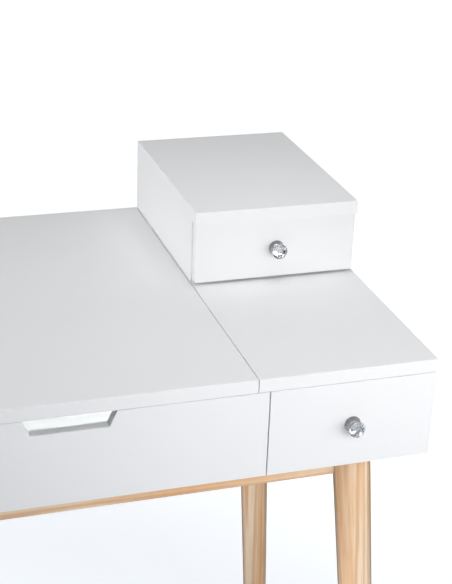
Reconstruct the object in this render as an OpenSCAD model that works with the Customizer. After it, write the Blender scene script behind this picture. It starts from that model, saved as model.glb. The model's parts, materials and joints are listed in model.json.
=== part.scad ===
// Flip top vanity table: a white panel cabinet on a splayed wooden base.
// The left part of the top is a lid with a mirror under it. A small box with
// one drawer stands on the back half of the fixed top, over the wide drawer.
// X runs to the right, Y to the back and Z up. The floor is at Z = 0, and the
// origin is the middle of the whole table's footprint, knobs and hinges included.

/* [Table] */
// Width of the cabinet
table_w = 600; // [560:5:900]
// Depth of the top, front edge to back edge
table_d = 500; // [470:5:600]
// Height of the table top above the floor
table_h = 750; // [650:5:800]
// Width of the fixed top beside the lid
fixed_top_w = 199; // [185:1:260]
// Height of the cabinet, its top board included
cabinet_h = 115; // [105:1:160]

/* [Boards] */
// Thickness of the lid, the tops, the cabinet's sides, bottom, back and divider
board_t = 15; // [14:0.5:18]
// Thickness of the fascia and the drawer fronts
front_t = 12; // [11:0.5:15]
// Thickness of the small box's sides, bottom and back, and of the drawers' walls
wall_t = 12; // [11:0.5:14]
// Thickness of the drawers' bottom sheets
sheet_t = 4; // [3:0.5:5]

/* [Lid and fascia] */
// Gap between the lid and the fixed top
lid_gap = 0.7; // [0.5:0.1:2]
// How far the divider reaches under the lid
lid_rest = 5; // [4:0.5:7]
// Angle at which the hinges stop the lid
lid_open = 100; // [90:1:110]
// Width of the finger notch at its top
notch_w = 95; // [80:1:130]
// Width of the finger notch at its floor
notch_floor_w = 79; // [50:1:80]
// Depth of the finger notch below the lid
notch_h = 17.5; // [12:0.5:30]
// How far the fascia reaches past the divider's drawer side
fascia_past = 2; // [1:0.5:4]
// Gap between the fronts and the boards above them
front_gap = 0.4; // [0.3:0.1:1.5]
// How far the cabinet's fronts stop above its lower edge
front_lift = 1; // [0:0.5:4]
// How far the fronts stop short of the cabinet's sides
front_side = 1; // [0:0.5:3]
// Gap between the fascia and the drawer front
seam_gap = 1.1; // [1:0.1:3]
// Thickness of the mirror
mirror_t = 3; // [2:0.5:5]
// Space between the mirror and the walls of the compartment
mirror_margin = 25; // [18:1:60]

/* [Drawers] */
// Length of the main drawer's box
drawer_l = 420; // [300:5:430]
// How much of the main drawer stays inside when it is out
drawer_hold = 120; // [90:5:160]
// Length of the small drawer's box
box_drawer_l = 200; // [150:5:215]
// How much of the small drawer stays inside when it is out
box_drawer_hold = 70; // [60:5:100]
// Gap between a drawer's box and the fascia's edge
drawer_clear = 1; // [0.5:0.1:2]
// Gap under a drawer's box
drawer_lift = 4; // [2:0.5:6]
// Width of a runner strip, from the wall into the drawer's groove
runner_t = 8; // [7:0.5:9]
// Height of a runner strip
runner_h = 12; // [8:0.5:13]
// Height of a runner's groove above the drawer's lower edge
runner_rise = 21; // [20:0.5:22]
// Running gap between a runner and its groove
slide_gap = 0.2; // [0.1:0.05:0.4]
// Height of the block that stops a drawer
stop_h = 12; // [8:0.5:14]

/* [Box on the fixed top] */
// Width of the box
box_w = 197; // [180:1:199]
// Depth of the box's top board
box_d = 265; // [250:5:320]
// Height of the box above the table top
box_h = 90.5; // [86:0.5:140]
// How far its top board stands in front of its sides
box_overhang = 16; // [13:0.5:24]
// Gap under the small drawer's front
box_front_lift = 3; // [1:0.5:5]
// How far the small drawer's front stops short of the box's left side
box_front_left = 2.2; // [0:0.1:4]
// How far the small drawer's front stops short of the box's right side
box_front_right = 0.5; // [0:0.1:4]

/* [Base] */
// Distance of a leg's top centre from the cabinet's side
leg_inset_x = 59.5; // [50:0.5:90]
// Distance of a leg's top centre from the top's front or back edge
leg_inset_y = 79; // [70:1:110]
// Diameter of a leg under the cabinet
leg_top_d = 44; // [42:0.5:52]
// Diameter of a leg at the floor
leg_foot_d = 30; // [25:0.5:36]
// Sideways splay of the legs, in degrees
splay_x = 4.2; // [0:0.1:6]
// Front to back splay of the legs, in degrees
splay_y = 4; // [0:0.1:6]
// Height of the apron rails
rail_h = 58; // [45:1:70]
// Thickness of the apron rails
rail_t = 14; // [12:0.5:15]
// How far the rails' faces stand outside the middle of the legs' tops
rail_out = 4; // [3:0.5:6]
// Length of a corner block along each rail
block_l = 60; // [54:1:80]
// Height of a corner block
block_h = 30; // [20:1:40]
// Diameter of a foot pad
pad_d = 22; // [18:0.5:25]
// Thickness of a foot pad
pad_t = 3; // [2:0.5:5]

/* [Hinges] */
// Length of a hinge
hinge_l = 60; // [45:1:80]
// Distance of a hinge from the lid's end
hinge_inset = 65; // [40:1:90]
// Knuckles of a hinge, an odd number
knuckles = 5; // [3:2:7]
// Width of a leaf over the board that carries it
leaf_w = 13; // [11:0.5:14]
// Thickness of a leaf
leaf_t = 1.5; // [1.4:0.1:2]
// Radius of the barrel
barrel_r = 3.5; // [3:0.1:4.5]
// Radius of the hinge pin
pin_r = 1.5; // [1.2:0.1:1.8]
// Radius of the heels that meet when the lid is open
heel_r = 8.5; // [7:0.1:10]

/* [Knobs] */
// Length of a knob in front of its drawer front
knob_l = 18.5; // [17:0.5:24]
// Diameter of the metal rose
rose_d = 18; // [15:0.5:22]
// Diameter of the cut glass
crystal_d = 18; // [17:0.5:24]

/* [Hidden] */
$fn = 64;
cut = 0.5;            // how far a cut runs past the face it opens
fit = 0.1;            // gap round a screw, dowel or bolt in its hole
quarter = [0.25, 0.75];
// cabinet planes
left_x = -table_w / 2;
right_x = table_w / 2;
seam_x = right_x - fixed_top_w;
under_top_z = table_h - board_t;
cabinet_z = table_h - cabinet_h;
floor_z = cabinet_z + board_t;
// hinge sizes, and the footprint's middle that they and the knob set
pivot_gap = 0.8;      // between the barrel and the back edge
pivot_out = barrel_r + pivot_gap;
knuckle_gap = 0.3;
barrel_gap = 0.3;
pin_play = 0.05;
pin_head_r = 2.4;
pin_head_t = 1.2;
heel_slack = 0.5;     // how far a heel's face stands back from where they meet, in degrees
heel_start = lid_open / 2 + heel_slack;
heel_end = 85;
hinge_reach = pivot_out + max(barrel_r, heel_r * cos(heel_start));
front_y = -(table_d + hinge_reach - knob_l) / 2;
back_y = front_y + table_d;
pivot_y = back_y + pivot_out;
hinge_xs = [left_x + hinge_inset, seam_x - hinge_inset - hinge_l];
// carcass, fascia and lid
inner_left = left_x + board_t;
divider_x0 = seam_x - lid_rest;
bay_left = divider_x0 + board_t;
bay_right = right_x - board_t;
carcass_y0 = front_y + front_t;
carcass_y1 = back_y - board_t;
fronts_z = cabinet_z + front_lift;
fronts_top_z = under_top_z - front_gap;
fascia_x0 = left_x + front_side;
fascia_x1 = bay_left + fascia_past;
notch_x = (fascia_x0 + fascia_x1) / 2;
lid_x1 = seam_x - lid_gap;
// main drawer
side_gap = fascia_past + drawer_clear;
groove_d = runner_t - side_gap + slide_gap;
sheet_rise = 6;       // bottom groove above a drawer wall's lower edge
sheet_groove = 5;
sheet_play = 0.2;
stop_t = 15;
stop_w = 40;
stop_clear = 4;
stop_play = 0.3;
drawer_x0 = bay_left + side_gap;
drawer_x1 = bay_right - side_gap;
drawer_z = floor_z + drawer_lift;
drawer_h = under_top_z - stop_h - stop_clear - drawer_z;
drawer_front_x0 = fascia_x1 + seam_gap;
drawer_front_x1 = right_x - front_side;
// small box and its drawer
box_x0 = seam_x;
box_x1 = seam_x + box_w;
box_y0 = back_y - box_d;
box_wall_y0 = box_y0 + box_overhang;
box_floor_z = table_h + wall_t;
box_under_z = table_h + box_h - board_t;
box_bay_left = box_x0 + wall_t;
box_bay_right = box_x1 - wall_t;
box_drawer_x0 = box_bay_left + side_gap;
box_drawer_x1 = box_bay_right - side_gap;
box_drawer_z = box_floor_z + drawer_lift;
box_drawer_h = box_under_z - stop_h - stop_clear - box_drawer_z;
box_front_z = table_h + box_front_lift;
box_front_top_z = box_under_z - front_gap;
// legs and rails
slope_x = tan(splay_x);
slope_y = tan(splay_y) / cos(splay_x);
leg_x = table_w / 2 - leg_inset_x;
leg_front_y = front_y + leg_inset_y;
leg_rear_y = back_y - leg_inset_y;
leg_drop = cabinet_z - pad_t;
leg_l = leg_drop * sqrt(1 + slope_x * slope_x + slope_y * slope_y);
leg_taper = (leg_top_d - leg_foot_d) / 2 / leg_l;
rail_in = rail_t - rail_out;
rail_in_low = rail_in + rail_h * max(slope_x, slope_y);
leg_low_r = leg_top_d / 2 - leg_taper * rail_h;
rail_apart = 0.2;     // between the ends of two rails that meet in a leg
rail_sink = 0.1;      // how far a rail's lower corner lies inside its leg
rail_end = max(rail_in_low + rail_apart,
               sqrt(max(0, leg_low_r * leg_low_r - rail_in_low * rail_in_low)) - rail_sink);
block_gap = 1;        // between a corner block and its leg
block_cut = sqrt(2) * (leg_top_d / 2 + block_gap) - 2 * rail_in;
block_screw_u = 12;   // block screws, from the two rails
block_screw_v = 32;
leg_over = 40;        // how far a leg's cone runs past its level ends before they are cut
pad_nail_r = 1.5;
pad_nail_l = 12;
bolt_r = 3;
bolt_head_r = 6;
bolt_head_t = 3.6;
bolt_short = 2;       // from a bolt's end to its insert's hole's end
insert_r = 5;
insert_l = 20;
insert_sink = 1;      // how far an insert sits below the leg's top
// knobs: a rose, a neck and a cup that holds the cut glass
rose_t = 1.4;
rose_edge = 0.7;      // width of the rose's sloped edge
flare_r = 1.2;        // the rose's rise to the neck, outwards and along the knob
flare_l = 1;
neck_start = 2.4;     // where the neck is thinnest, above the rose
neck_swell = 0.3;     // how much the neck widens on its way to the cup
knob_neck_r = 4.2;
knob_cup_r = 7.2;
cup_slope_l = 2.6;    // length of the cup's slope behind the glass
cup_edge_l = 0.4;     // how much of the cup's straight edge lies behind its seat
rim_l = 1.2;          // how far the cup's rim stands round the glass
rim_gap = 0.4;        // from the glass's seat to the rim's inner foot
rim_slope = 1;        // how much wider the rim opens at its edge
crystal_l = 10.2;     // from the glass's seat to its table
knob_seat_z = knob_l - crystal_l;
knob_rim_z = knob_seat_z + rim_l;
knob_screw_r = 2;
knob_screw_bite = 5;
knob_screw_head_r = 4;
knob_screw_head_t = 2.2;
crystal_seat_r = 5;
crystal_table_r = 5.4;
girdle_low = 5.6;     // levels of the cut, behind the glass's table
girdle_high = 4.2;
crown_low = 1.7;
crown_share = 0.86;   // the crown's upper corners, as a share of the girdle's radius
cut_t = 0.02;         // thickness of a level of the cut
// directions for what points along -Z when it isn't turned
to_down = [0, 0, 0];
to_up = [180, 0, 0];
to_right = [0, -90, 0];
to_left = [0, 90, 0];
to_front = [-90, 0, 0];
// screws: [shank radius, head radius]
screw_tip_r = 0.3;
small_shank_r = 1.4;
small_head_r = 2.8;
wood_shank_r = 1.75;
wood_head_r = 3.5;
small_screw = [small_shank_r, small_head_r];
wood_screw = [wood_shank_r, wood_head_r];
small_bite = 8;       // how far small screws reach into the last board
wood_bite = 16;       // how far wood screws reach into end grain
front_bite = 8.5;     // how far screws reach into a front or the box's bottom
leaf_bite = 9;        // how far a leaf's screws reach into the lid or the back

// Drawers: each is [x0, x1, y0, z0, length, wall height]
main_box = [drawer_x0, drawer_x1, carcass_y0, drawer_z, drawer_l, drawer_h];
small_box = [box_drawer_x0, box_drawer_x1, box_wall_y0, box_drawer_z, box_drawer_l, box_drawer_h];
screw_low = 15.5;     // wall screws above the lower edge
screw_high = 5.5;     // and below the upper edge
front_screw_in = 18;  // front screws from the walls

// Knob places, on the drawer fronts' outer faces
main_knob = [(drawer_front_x0 + drawer_front_x1) / 2, front_y, (fronts_z + fronts_top_z) / 2];
box_knob = [(box_x0 + box_front_left + box_x1 - box_front_right) / 2, box_wall_y0 - front_t,
            (box_front_z + box_front_top_z) / 2];

// Screws: each is [head centre, direction, length]
runner_start = 4;     // from the walls' front edges to the runners
runner_short = 15;    // how much shorter a runner is than its drawer
box_runner_short = 10;
runner_z = drawer_z + runner_rise + slide_gap + runner_h / 2;
runner_y0 = carcass_y0 + runner_start;
runner_l = drawer_l - runner_short;
runner_screw_shares = [0.08, 0.5, 0.92];
box_runner_z = box_drawer_z + runner_rise + slide_gap + runner_h / 2;
box_runner_y0 = box_wall_y0 + runner_start;
box_runner_l = box_drawer_l - box_runner_short;
box_runner_screw_shares = [0.12, 0.88];
stop_x = (drawer_x0 + drawer_x1) / 2;
stop_y1 = carcass_y0 + drawer_hold - wall_t - stop_play;
box_stop_x = (box_drawer_x0 + box_drawer_x1) / 2;
box_stop_y1 = box_wall_y0 + box_drawer_hold - wall_t - stop_play;
runner_screws = [
    for (y = runner_screw_shares) each [
        [[bay_left + runner_t, runner_y0 + y * runner_l, runner_z], to_left,
         runner_t + small_bite],
        [[bay_right - runner_t, runner_y0 + y * runner_l, runner_z], to_right,
         runner_t + small_bite]]];
box_runner_screws = [
    for (y = box_runner_screw_shares) each [
        [[box_bay_left + runner_t, box_runner_y0 + y * box_runner_l, box_runner_z], to_left,
         runner_t + small_bite],
        [[box_bay_right - runner_t, box_runner_y0 + y * box_runner_l, box_runner_z], to_right,
         runner_t + small_bite]]];
stop_screws = [
    for (s = [-1, 1]) each [
        [[stop_x + s * stop_w / 4, stop_y1 - stop_t / 2, under_top_z - stop_h], to_up,
         stop_h + small_bite],
        [[box_stop_x + s * stop_w / 4, box_stop_y1 - stop_t / 2, box_under_z - stop_h], to_up,
         stop_h + small_bite]]];
leaf_screw_y = back_y - leaf_w / 2;
leaf_screw_xs = [for (x = hinge_xs, k = [1, 3, 5]) x + k * hinge_l / 6];
fixed_leaf_screws = [
    for (x = leaf_screw_xs) [[x, leaf_screw_y, under_top_z], to_down, leaf_t + leaf_bite]];
moving_leaf_screws = [
    for (x = leaf_screw_xs) [[x, leaf_screw_y, under_top_z], to_up, leaf_t + leaf_bite]];
block_screws = [
    for (sx = [-1, 1], sy = [-1, 1],
         p = [[block_screw_u, block_screw_v], [block_screw_v, block_screw_u]])
        [block_point(sx, sy, p, cabinet_z - block_h), to_up, block_h + small_bite]];
box_fixing_x_shares = [0.22, 0.78];
box_fixing_y_shares = [0.15, 0.85];
box_fixing_screws = [
    for (x = box_fixing_x_shares, y = box_fixing_y_shares)
        [[box_x0 + x * box_w, box_wall_y0 + y * (back_y - box_wall_y0), under_top_z], to_up,
         board_t + front_bite]];

// Mirror and its clips
mirror_x0 = inner_left + mirror_margin;
mirror_x1 = divider_x0 - mirror_margin;
mirror_y0 = carcass_y0 + mirror_margin;
mirror_y1 = carcass_y1 - mirror_margin;
clip_l = 14;
clip_w = 10;
clip_lip = 4;
clip_lip_t = 1.5;
clip_t = mirror_t + clip_lip_t;
// each clip is [middle of its mirror edge, turn]
clips = [
    for (k = quarter) each [
        [[mirror_x0 + k * (mirror_x1 - mirror_x0), mirror_y1, under_top_z], 0],
        [[mirror_x0 + k * (mirror_x1 - mirror_x0), mirror_y0, under_top_z], 180]],
    [[mirror_x1, (mirror_y0 + mirror_y1) / 2, under_top_z], -90],
    [[mirror_x0, (mirror_y0 + mirror_y1) / 2, under_top_z], 90]];
clip_screws = [
    for (c = clips) [c[0] + [-sin(c[1]) * clip_w / 2, cos(c[1]) * clip_w / 2, -clip_t], to_up,
                     clip_t + small_bite]];

// Dowels: each is [middle of the joint, turn]. The short side goes into the
// face of one board, and the long side, along +Z before the turn, into an edge.
dowel_r = 3;
dowel_face = 8;
dowel_edge = 14;
edge_up = [0, 0, 0];
edge_down = [180, 0, 0];
edge_right = [0, 90, 0];
edge_left = [0, -90, 0];
edge_back = [-90, 0, 0];
edge_front = [90, 0, 0];
dowel_in = 90;        // dowels from the ends of the cabinet's and the box's joints
box_dowel_in = 40;
dowel_ys = [carcass_y0 + dowel_in, carcass_y1 - dowel_in];
dowel_zs = [for (k = [0.35, 0.7]) cabinet_z + k * cabinet_h];
box_dowel_ys = [box_wall_y0 + box_dowel_in, back_y - box_dowel_in];
dowels_at = [
    for (y = dowel_ys) each [
        [[divider_x0 + board_t / 2, y, floor_z], edge_up],
        [[(seam_x + bay_left) / 2, y, under_top_z], edge_down],
        [[right_x - board_t / 2, y, under_top_z], edge_down]],
    [[(seam_x + right_x) / 2, back_y - board_t / 2, under_top_z], edge_down],
    for (z = dowel_zs) each [
        [[inner_left, back_y - board_t / 2, z], edge_right],
        [[bay_right, back_y - board_t / 2, z], edge_left],
        [[left_x + board_t / 2, carcass_y0, z], edge_back],
        [[divider_x0 + board_t / 2, carcass_y0, z], edge_back]],
    for (y = box_dowel_ys) each [
        [[box_x0 + wall_t / 2, y, box_under_z], edge_down],
        [[box_x1 - wall_t / 2, y, box_under_z], edge_down],
        [[box_bay_left, y, table_h + wall_t / 2], edge_right],
        [[box_bay_right, y, table_h + wall_t / 2], edge_left]],
    [[box_bay_left, back_y - wall_t / 2, (box_floor_z + box_under_z) / 2], edge_right],
    [[box_bay_right, back_y - wall_t / 2, (box_floor_z + box_under_z) / 2], edge_left]];

// Cam fittings: each is [where the bolt leaves its face, turn of the bolt]
cam_r = 7.5;
cam_t = 11.5;
cam_reach = 24;       // from the face to the cam's middle
cam_bolt_bite = 9;
cam_bolt_r = 2.2;
cam_thread_r = 3;
cam_head_r = 3.2;
cam_head_l = 3;
cam_head_cone = 1;    // length of the cones at both ends of a cam bolt's head
cam_bolt_play = 0.3;  // round a cam bolt's head
cam_z = cabinet_z + board_t / 2;
cam_off_middle = 90;  // side cams, from the middle of the cabinet's depth
cam_shares = [0.3, 0.7];
cams_at = [
    for (y = [-cam_off_middle, cam_off_middle]) each [
        [[inner_left, (front_y + back_y) / 2 + y, cam_z], edge_right],
        [[bay_right, (front_y + back_y) / 2 + y, cam_z], edge_left]],
    for (x = cam_shares) each [
        [[fascia_x0 + x * (fascia_x1 - fascia_x0), carcass_y0, cam_z], edge_back],
        [[left_x + x * table_w, carcass_y1, cam_z], edge_front]]];

// A plain board between two corners
module board(low, high) {
    translate(low) cube(high - low);
}

// Place what follows at a point with a turn
module place(at) {
    translate(at[0]) rotate(at[1]) children();
}

// Countersunk screw from its head's top, down; grow widens it into its own hole
module screw(l, size, grow = 0) {
    r = size[0] + grow;
    head_r = size[1] + grow;
    top = grow > 0 ? cut : 0;
    rotate_extrude() polygon([
        [0, top], [head_r, top], [head_r, 0], [r, -(head_r - r)],
        [r, -(l - 2 * r)], [screw_tip_r, -l - grow], [0, -l - grow]]);
}

module screws(list, size) {
    for (s = list) place(s) screw(s[2], size);
}

module screw_holes(list, size) {
    for (s = list) place(s) screw(s[2], size, fit);
}

// Dowel with its short side below the joint and its long side above
module dowel(grow = 0) {
    translate([0, 0, -dowel_face - grow])
        cylinder(r = dowel_r + grow, h = dowel_face + dowel_edge + 2 * grow);
}

module dowel_holes() {
    for (d = dowels_at) place(d) dowel(fit);
}

// Cam bolt: thread, neck and round head, along +Z from the board's face
module cam_bolt() {
    rotate_extrude() polygon([
        [0, -cam_bolt_bite], [cam_thread_r, -cam_bolt_bite], [cam_thread_r, 0],
        [cam_bolt_r, 0], [cam_bolt_r, cam_reach - cam_head_l - cam_head_cone],
        [cam_head_r, cam_reach - cam_head_l], [cam_head_r, cam_reach],
        [0, cam_reach + cam_head_cone]]);
}

// Room for a cam bolt in both boards
module cam_bolt_hole() {
    translate([0, 0, -cam_bolt_bite - fit])
        cylinder(r = cam_thread_r + fit, h = cam_bolt_bite + 2 * fit);
    cylinder(r = cam_head_r + cam_bolt_play, h = cam_reach + cam_head_cone + 1);
}

// Middle of a cam, under the board, for one fitting
function cam_middle(c) =
    let (a = c[1])
    [c[0][0] + sin(a[1]) * cam_reach, c[0][1] - sin(a[0]) * cam_reach, cabinet_z];

module cam_holes() {
    for (c = cams_at) {
        place(c) cam_bolt_hole();
        translate(cam_middle(c) - [0, 0, cut]) cylinder(r = cam_r + fit, h = cam_t + cut + fit);
    }
}

// ---------------------------------------------------------------- base

// Leg position at the underside of the cabinet
function leg_at(sx, sy) = [sx * leg_x, sy < 0 ? leg_front_y : leg_rear_y, cabinet_z];

// Leg axis at a height, for the side signs sx and sy
function leg_axis(sx, sy, z) =
    leg_at(sx, sy) + [sx * slope_x, sy * slope_y, -1] * (cabinet_z - z);

// A point of a corner block, counted from the inner corner of its two rails
function block_point(sx, sy, p, z) =
    [leg_at(sx, sy)[0] - sx * (rail_in + p[0]), leg_at(sx, sy)[1] - sy * (rail_in + p[1]), z];

// Tapered round leg, tilted both ways and cut level at both ends
module leg_body(sx, sy) {
    grow = leg_taper * leg_over;
    intersection() {
        translate(leg_at(sx, sy)) rotate([sy * splay_y, -sx * splay_x, 0])
            translate([0, 0, -leg_l - leg_over])
                cylinder(r1 = leg_foot_d / 2 - grow, r2 = leg_top_d / 2 + grow,
                         h = leg_l + 2 * leg_over);
        translate([-table_w, -table_d, pad_t]) cube([2 * table_w, 2 * table_d, leg_drop]);
    }
}

module leg(sx, sy) {
    color("burlywood") difference() {
        leg_body(sx, sy);
        cross_rail(sy);
        side_rail(sx);
        translate(leg_at(sx, sy) - [0, 0, insert_l + fit])
            cylinder(r = insert_r + fit, h = insert_l + fit + cut);
        translate(leg_axis(sx, sy, pad_t) - [0, 0, cut])
            cylinder(r = pad_nail_r + fit, h = pad_nail_l + cut + fit);
    }
}

// Front or rear rail: its ends follow the legs' splay
module cross_rail(sy) {
    low = rail_h * slope_x;
    y = sy < 0 ? leg_front_y - rail_out : leg_rear_y + rail_out - rail_t;
    translate([0, y + rail_t, cabinet_z]) rotate([90, 0, 0]) linear_extrude(height = rail_t)
        polygon([[-leg_x + rail_end, 0], [leg_x - rail_end, 0],
                 [leg_x - rail_end + low, -rail_h], [-leg_x + rail_end - low, -rail_h]]);
}

// Left or right rail: its ends follow the legs' splay
module side_rail(sx) {
    low = rail_h * slope_y;
    x = sx < 0 ? -leg_x - rail_out : leg_x + rail_out - rail_t;
    translate([x, 0, cabinet_z]) rotate([90, 0, 90]) linear_extrude(height = rail_t)
        polygon([[leg_front_y + rail_end, 0], [leg_rear_y - rail_end, 0],
                 [leg_rear_y - rail_end + low, -rail_h], [leg_front_y + rail_end - low, -rail_h]]);
}

module leg_front_left() { leg(-1, -1); }
module leg_front_right() { leg(1, -1); }
module leg_rear_left() { leg(-1, 1); }
module leg_rear_right() { leg(1, 1); }
module front_rail() { color("tan") cross_rail(-1); }
module rear_rail() { color("tan") cross_rail(1); }
module left_rail() { color("tan") side_rail(-1); }
module right_rail() { color("tan") side_rail(1); }

module corner_blocks() {
    color("wheat") difference() {
        for (sx = [-1, 1], sy = [-1, 1])
            translate([0, 0, cabinet_z - block_h]) linear_extrude(height = block_h)
                polygon([for (p = [[block_cut, 0], [block_l, 0], [0, block_l], [0, block_cut]])
                    let (q = block_point(sx, sy, p, 0)) [q[0], q[1]]]);
        screw_holes(block_screws, wood_screw);
    }
}

// Bolt from inside the cabinet down into each leg's insert
module leg_bolt(grow = 0) {
    translate([0, 0, board_t - bolt_head_t - grow])
        cylinder(r = bolt_head_r + grow, h = bolt_head_t + grow + (grow > 0 ? cut : 0));
    translate([0, 0, bolt_short - insert_l])
        cylinder(r = bolt_r + grow, h = insert_l - bolt_short + board_t - bolt_head_t);
}

module leg_bolts() {
    color("silver") for (sx = [-1, 1], sy = [-1, 1]) translate(leg_at(sx, sy)) leg_bolt();
}

module leg_inserts() {
    color("goldenrod") for (sx = [-1, 1], sy = [-1, 1]) translate(leg_at(sx, sy)) difference() {
        translate([0, 0, -insert_l]) cylinder(r = insert_r, h = insert_l - insert_sink);
        translate([0, 0, -insert_l - cut]) cylinder(r = bolt_r + fit, h = insert_l + 2 * cut);
    }
}

module foot_pads() {
    color("dimgray") for (sx = [-1, 1], sy = [-1, 1]) translate(leg_axis(sx, sy, pad_t)) {
        translate([0, 0, -pad_t]) cylinder(d = pad_d, h = pad_t);
        cylinder(r = pad_nail_r, h = pad_nail_l);
    }
}

module frame_screws() {
    color("silver") {
        screws(block_screws, wood_screw);
        screws(box_fixing_screws, wood_screw);
    }
}

// ---------------------------------------------------------------- cabinet

module bottom_panel() {
    color("whitesmoke") difference() {
        board([inner_left, carcass_y0, cabinet_z], [bay_right, carcass_y1, floor_z]);
        for (sx = [-1, 1], sy = [-1, 1]) translate(leg_at(sx, sy)) leg_bolt(fit);
        screw_holes(block_screws, wood_screw);
        cam_holes();
        dowel_holes();
    }
}

module left_side_panel() {
    color("white") difference() {
        board([left_x, carcass_y0, cabinet_z], [inner_left, back_y, under_top_z]);
        cam_holes();
        dowel_holes();
    }
}

module right_side_panel() {
    color("white") difference() {
        board([bay_right, carcass_y0, cabinet_z], [right_x, back_y, under_top_z]);
        cam_holes();
        dowel_holes();
        screw_holes(runner_screws, small_screw);
    }
}

module divider_panel() {
    color("whitesmoke") difference() {
        board([divider_x0, carcass_y0, floor_z], [bay_left, carcass_y1, under_top_z]);
        dowel_holes();
        screw_holes(runner_screws, small_screw);
    }
}

module back_panel() {
    color("white") difference() {
        board([inner_left, carcass_y1, cabinet_z], [bay_right, back_y, under_top_z]);
        for (x = hinge_xs)
            board([x - fit, back_y - leaf_w - fit, under_top_z - leaf_t],
                  [x + hinge_l + fit, back_y + cut, table_h]);
        screw_holes(fixed_leaf_screws, small_screw);
        cam_holes();
        dowel_holes();
    }
}

module front_fascia() {
    color("white") difference() {
        board([fascia_x0, front_y, fronts_z], [fascia_x1, carcass_y0, fronts_top_z]);
        translate([notch_x, carcass_y0 + cut, under_top_z]) rotate([90, 0, 0])
            linear_extrude(height = front_t + 2 * cut)
                polygon([[-notch_w / 2, 0], [notch_w / 2, 0], [notch_floor_w / 2, -notch_h],
                         [-notch_floor_w / 2, -notch_h]]);
        cam_holes();
        dowel_holes();
    }
}

module fixed_top() {
    color("white") difference() {
        board([seam_x, front_y, under_top_z], [right_x, back_y, table_h]);
        screw_holes(box_fixing_screws, wood_screw);
        screw_holes(stop_screws, small_screw);
        dowel_holes();
    }
}

module dowels() {
    color("burlywood") for (d = dowels_at) place(d) dowel();
}

module cams() {
    color("gray") difference() {
        for (c = cams_at) translate(cam_middle(c)) cylinder(r = cam_r, h = cam_t);
        for (c = cams_at) place(c) cam_bolt_hole();
    }
}

module cam_bolts() {
    color("silver") for (c = cams_at) place(c) cam_bolt();
}

module carcass_screws() {
    color("silver") {
        screws(runner_screws, small_screw);
        screws(box_runner_screws, small_screw);
        screws(stop_screws, small_screw);
        screws(fixed_leaf_screws, small_screw);
    }
}

// Pair of runner strips on the walls at x0 and x1
module runner_pair(x0, x1, y0, z, l) {
    for (x = [x0, x1 - runner_t])
        board([x, y0, z - runner_h / 2], [x + runner_t, y0 + l, z + runner_h / 2]);
}

module main_runners() {
    color("gainsboro") difference() {
        runner_pair(bay_left, bay_right, runner_y0, runner_z, runner_l);
        screw_holes(runner_screws, small_screw);
    }
}

module drawer_stops() {
    color("gainsboro") difference() {
        union() {
            board([stop_x - stop_w / 2, stop_y1 - stop_t, under_top_z - stop_h],
                  [stop_x + stop_w / 2, stop_y1, under_top_z]);
            board([box_stop_x - stop_w / 2, box_stop_y1 - stop_t, box_under_z - stop_h],
                  [box_stop_x + stop_w / 2, box_stop_y1, box_under_z]);
        }
        screw_holes(stop_screws, small_screw);
    }
}

// ---------------------------------------------------------------- hinges and lid

// One knuckle of the barrel along X, with room for its neighbours
module knuckle(k, r, room) {
    step = hinge_l / knuckles;
    translate([k * step - room, 0, 0]) rotate([0, 90, 0]) cylinder(r = r, h = step + 2 * room);
}

// Heel behind the barrel: a wedge between two angles, up for the lid's leaf
module heel(up) {
    intersection() {
        rotate([0, 90, 0]) cylinder(r = heel_r, h = hinge_l);
        rotate([90, 0, 90]) linear_extrude(height = hinge_l)
            polygon([[0, 0], 2 * heel_r * [cos(heel_start), up * sin(heel_start)],
                     2 * heel_r * [cos(heel_end), up * sin(heel_end)]]);
    }
}

// Leaf with its knuckles, about the pivot: up is 1 under the lid, -1 on the back panel
module hinge_leaf(up) {
    own = [for (k = [up > 0 ? 1 : 0 : 2 : knuckles - 1]) k];
    other = [for (k = [up > 0 ? 0 : 1 : 2 : knuckles - 1]) k];
    difference() {
        union() {
            translate([0, -pivot_out - leaf_w, up > 0 ? 0 : -leaf_t])
                cube([hinge_l, leaf_w + pivot_out, leaf_t]);
            for (k = own) knuckle(k, barrel_r, -knuckle_gap / 2);
            heel(up);
        }
        for (k = other) knuckle(k, barrel_r + barrel_gap, knuckle_gap / 2);
        translate([-cut, 0, 0]) rotate([0, 90, 0])
            cylinder(r = pin_r + pin_play, h = hinge_l + 2 * cut);
    }
}

module hinge_fixed_leaves() {
    color("silver") difference() {
        for (x = hinge_xs) translate([x, pivot_y, under_top_z]) hinge_leaf(-1);
        screw_holes(fixed_leaf_screws, small_screw);
    }
}

module hinge_moving_leaves() {
    color("silver") difference() {
        for (x = hinge_xs) translate([x, pivot_y, under_top_z]) hinge_leaf(1);
        screw_holes(moving_leaf_screws, small_screw);
    }
}

module hinge_pins() {
    color("gray") for (x = hinge_xs) translate([x, pivot_y, under_top_z]) rotate([0, 90, 0]) {
        translate([0, 0, -pin_head_t]) cylinder(r = pin_head_r, h = pin_head_t);
        cylinder(r = pin_r, h = hinge_l);
        translate([0, 0, hinge_l]) cylinder(r = pin_head_r, h = pin_head_t);
    }
}

module lid_panel() {
    color("white") difference() {
        board([left_x, front_y, under_top_z], [lid_x1, back_y, table_h]);
        for (x = hinge_xs)
            board([x - fit, back_y - leaf_w - fit, under_top_z - cut],
                  [x + hinge_l + fit, back_y + cut, under_top_z + leaf_t]);
        screw_holes(moving_leaf_screws, small_screw);
        screw_holes(clip_screws, small_screw);
    }
}

module lid_mirror() {
    color("lightsteelblue")
        board([mirror_x0, mirror_y0, under_top_z - mirror_t], [mirror_x1, mirror_y1, under_top_z]);
}

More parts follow.
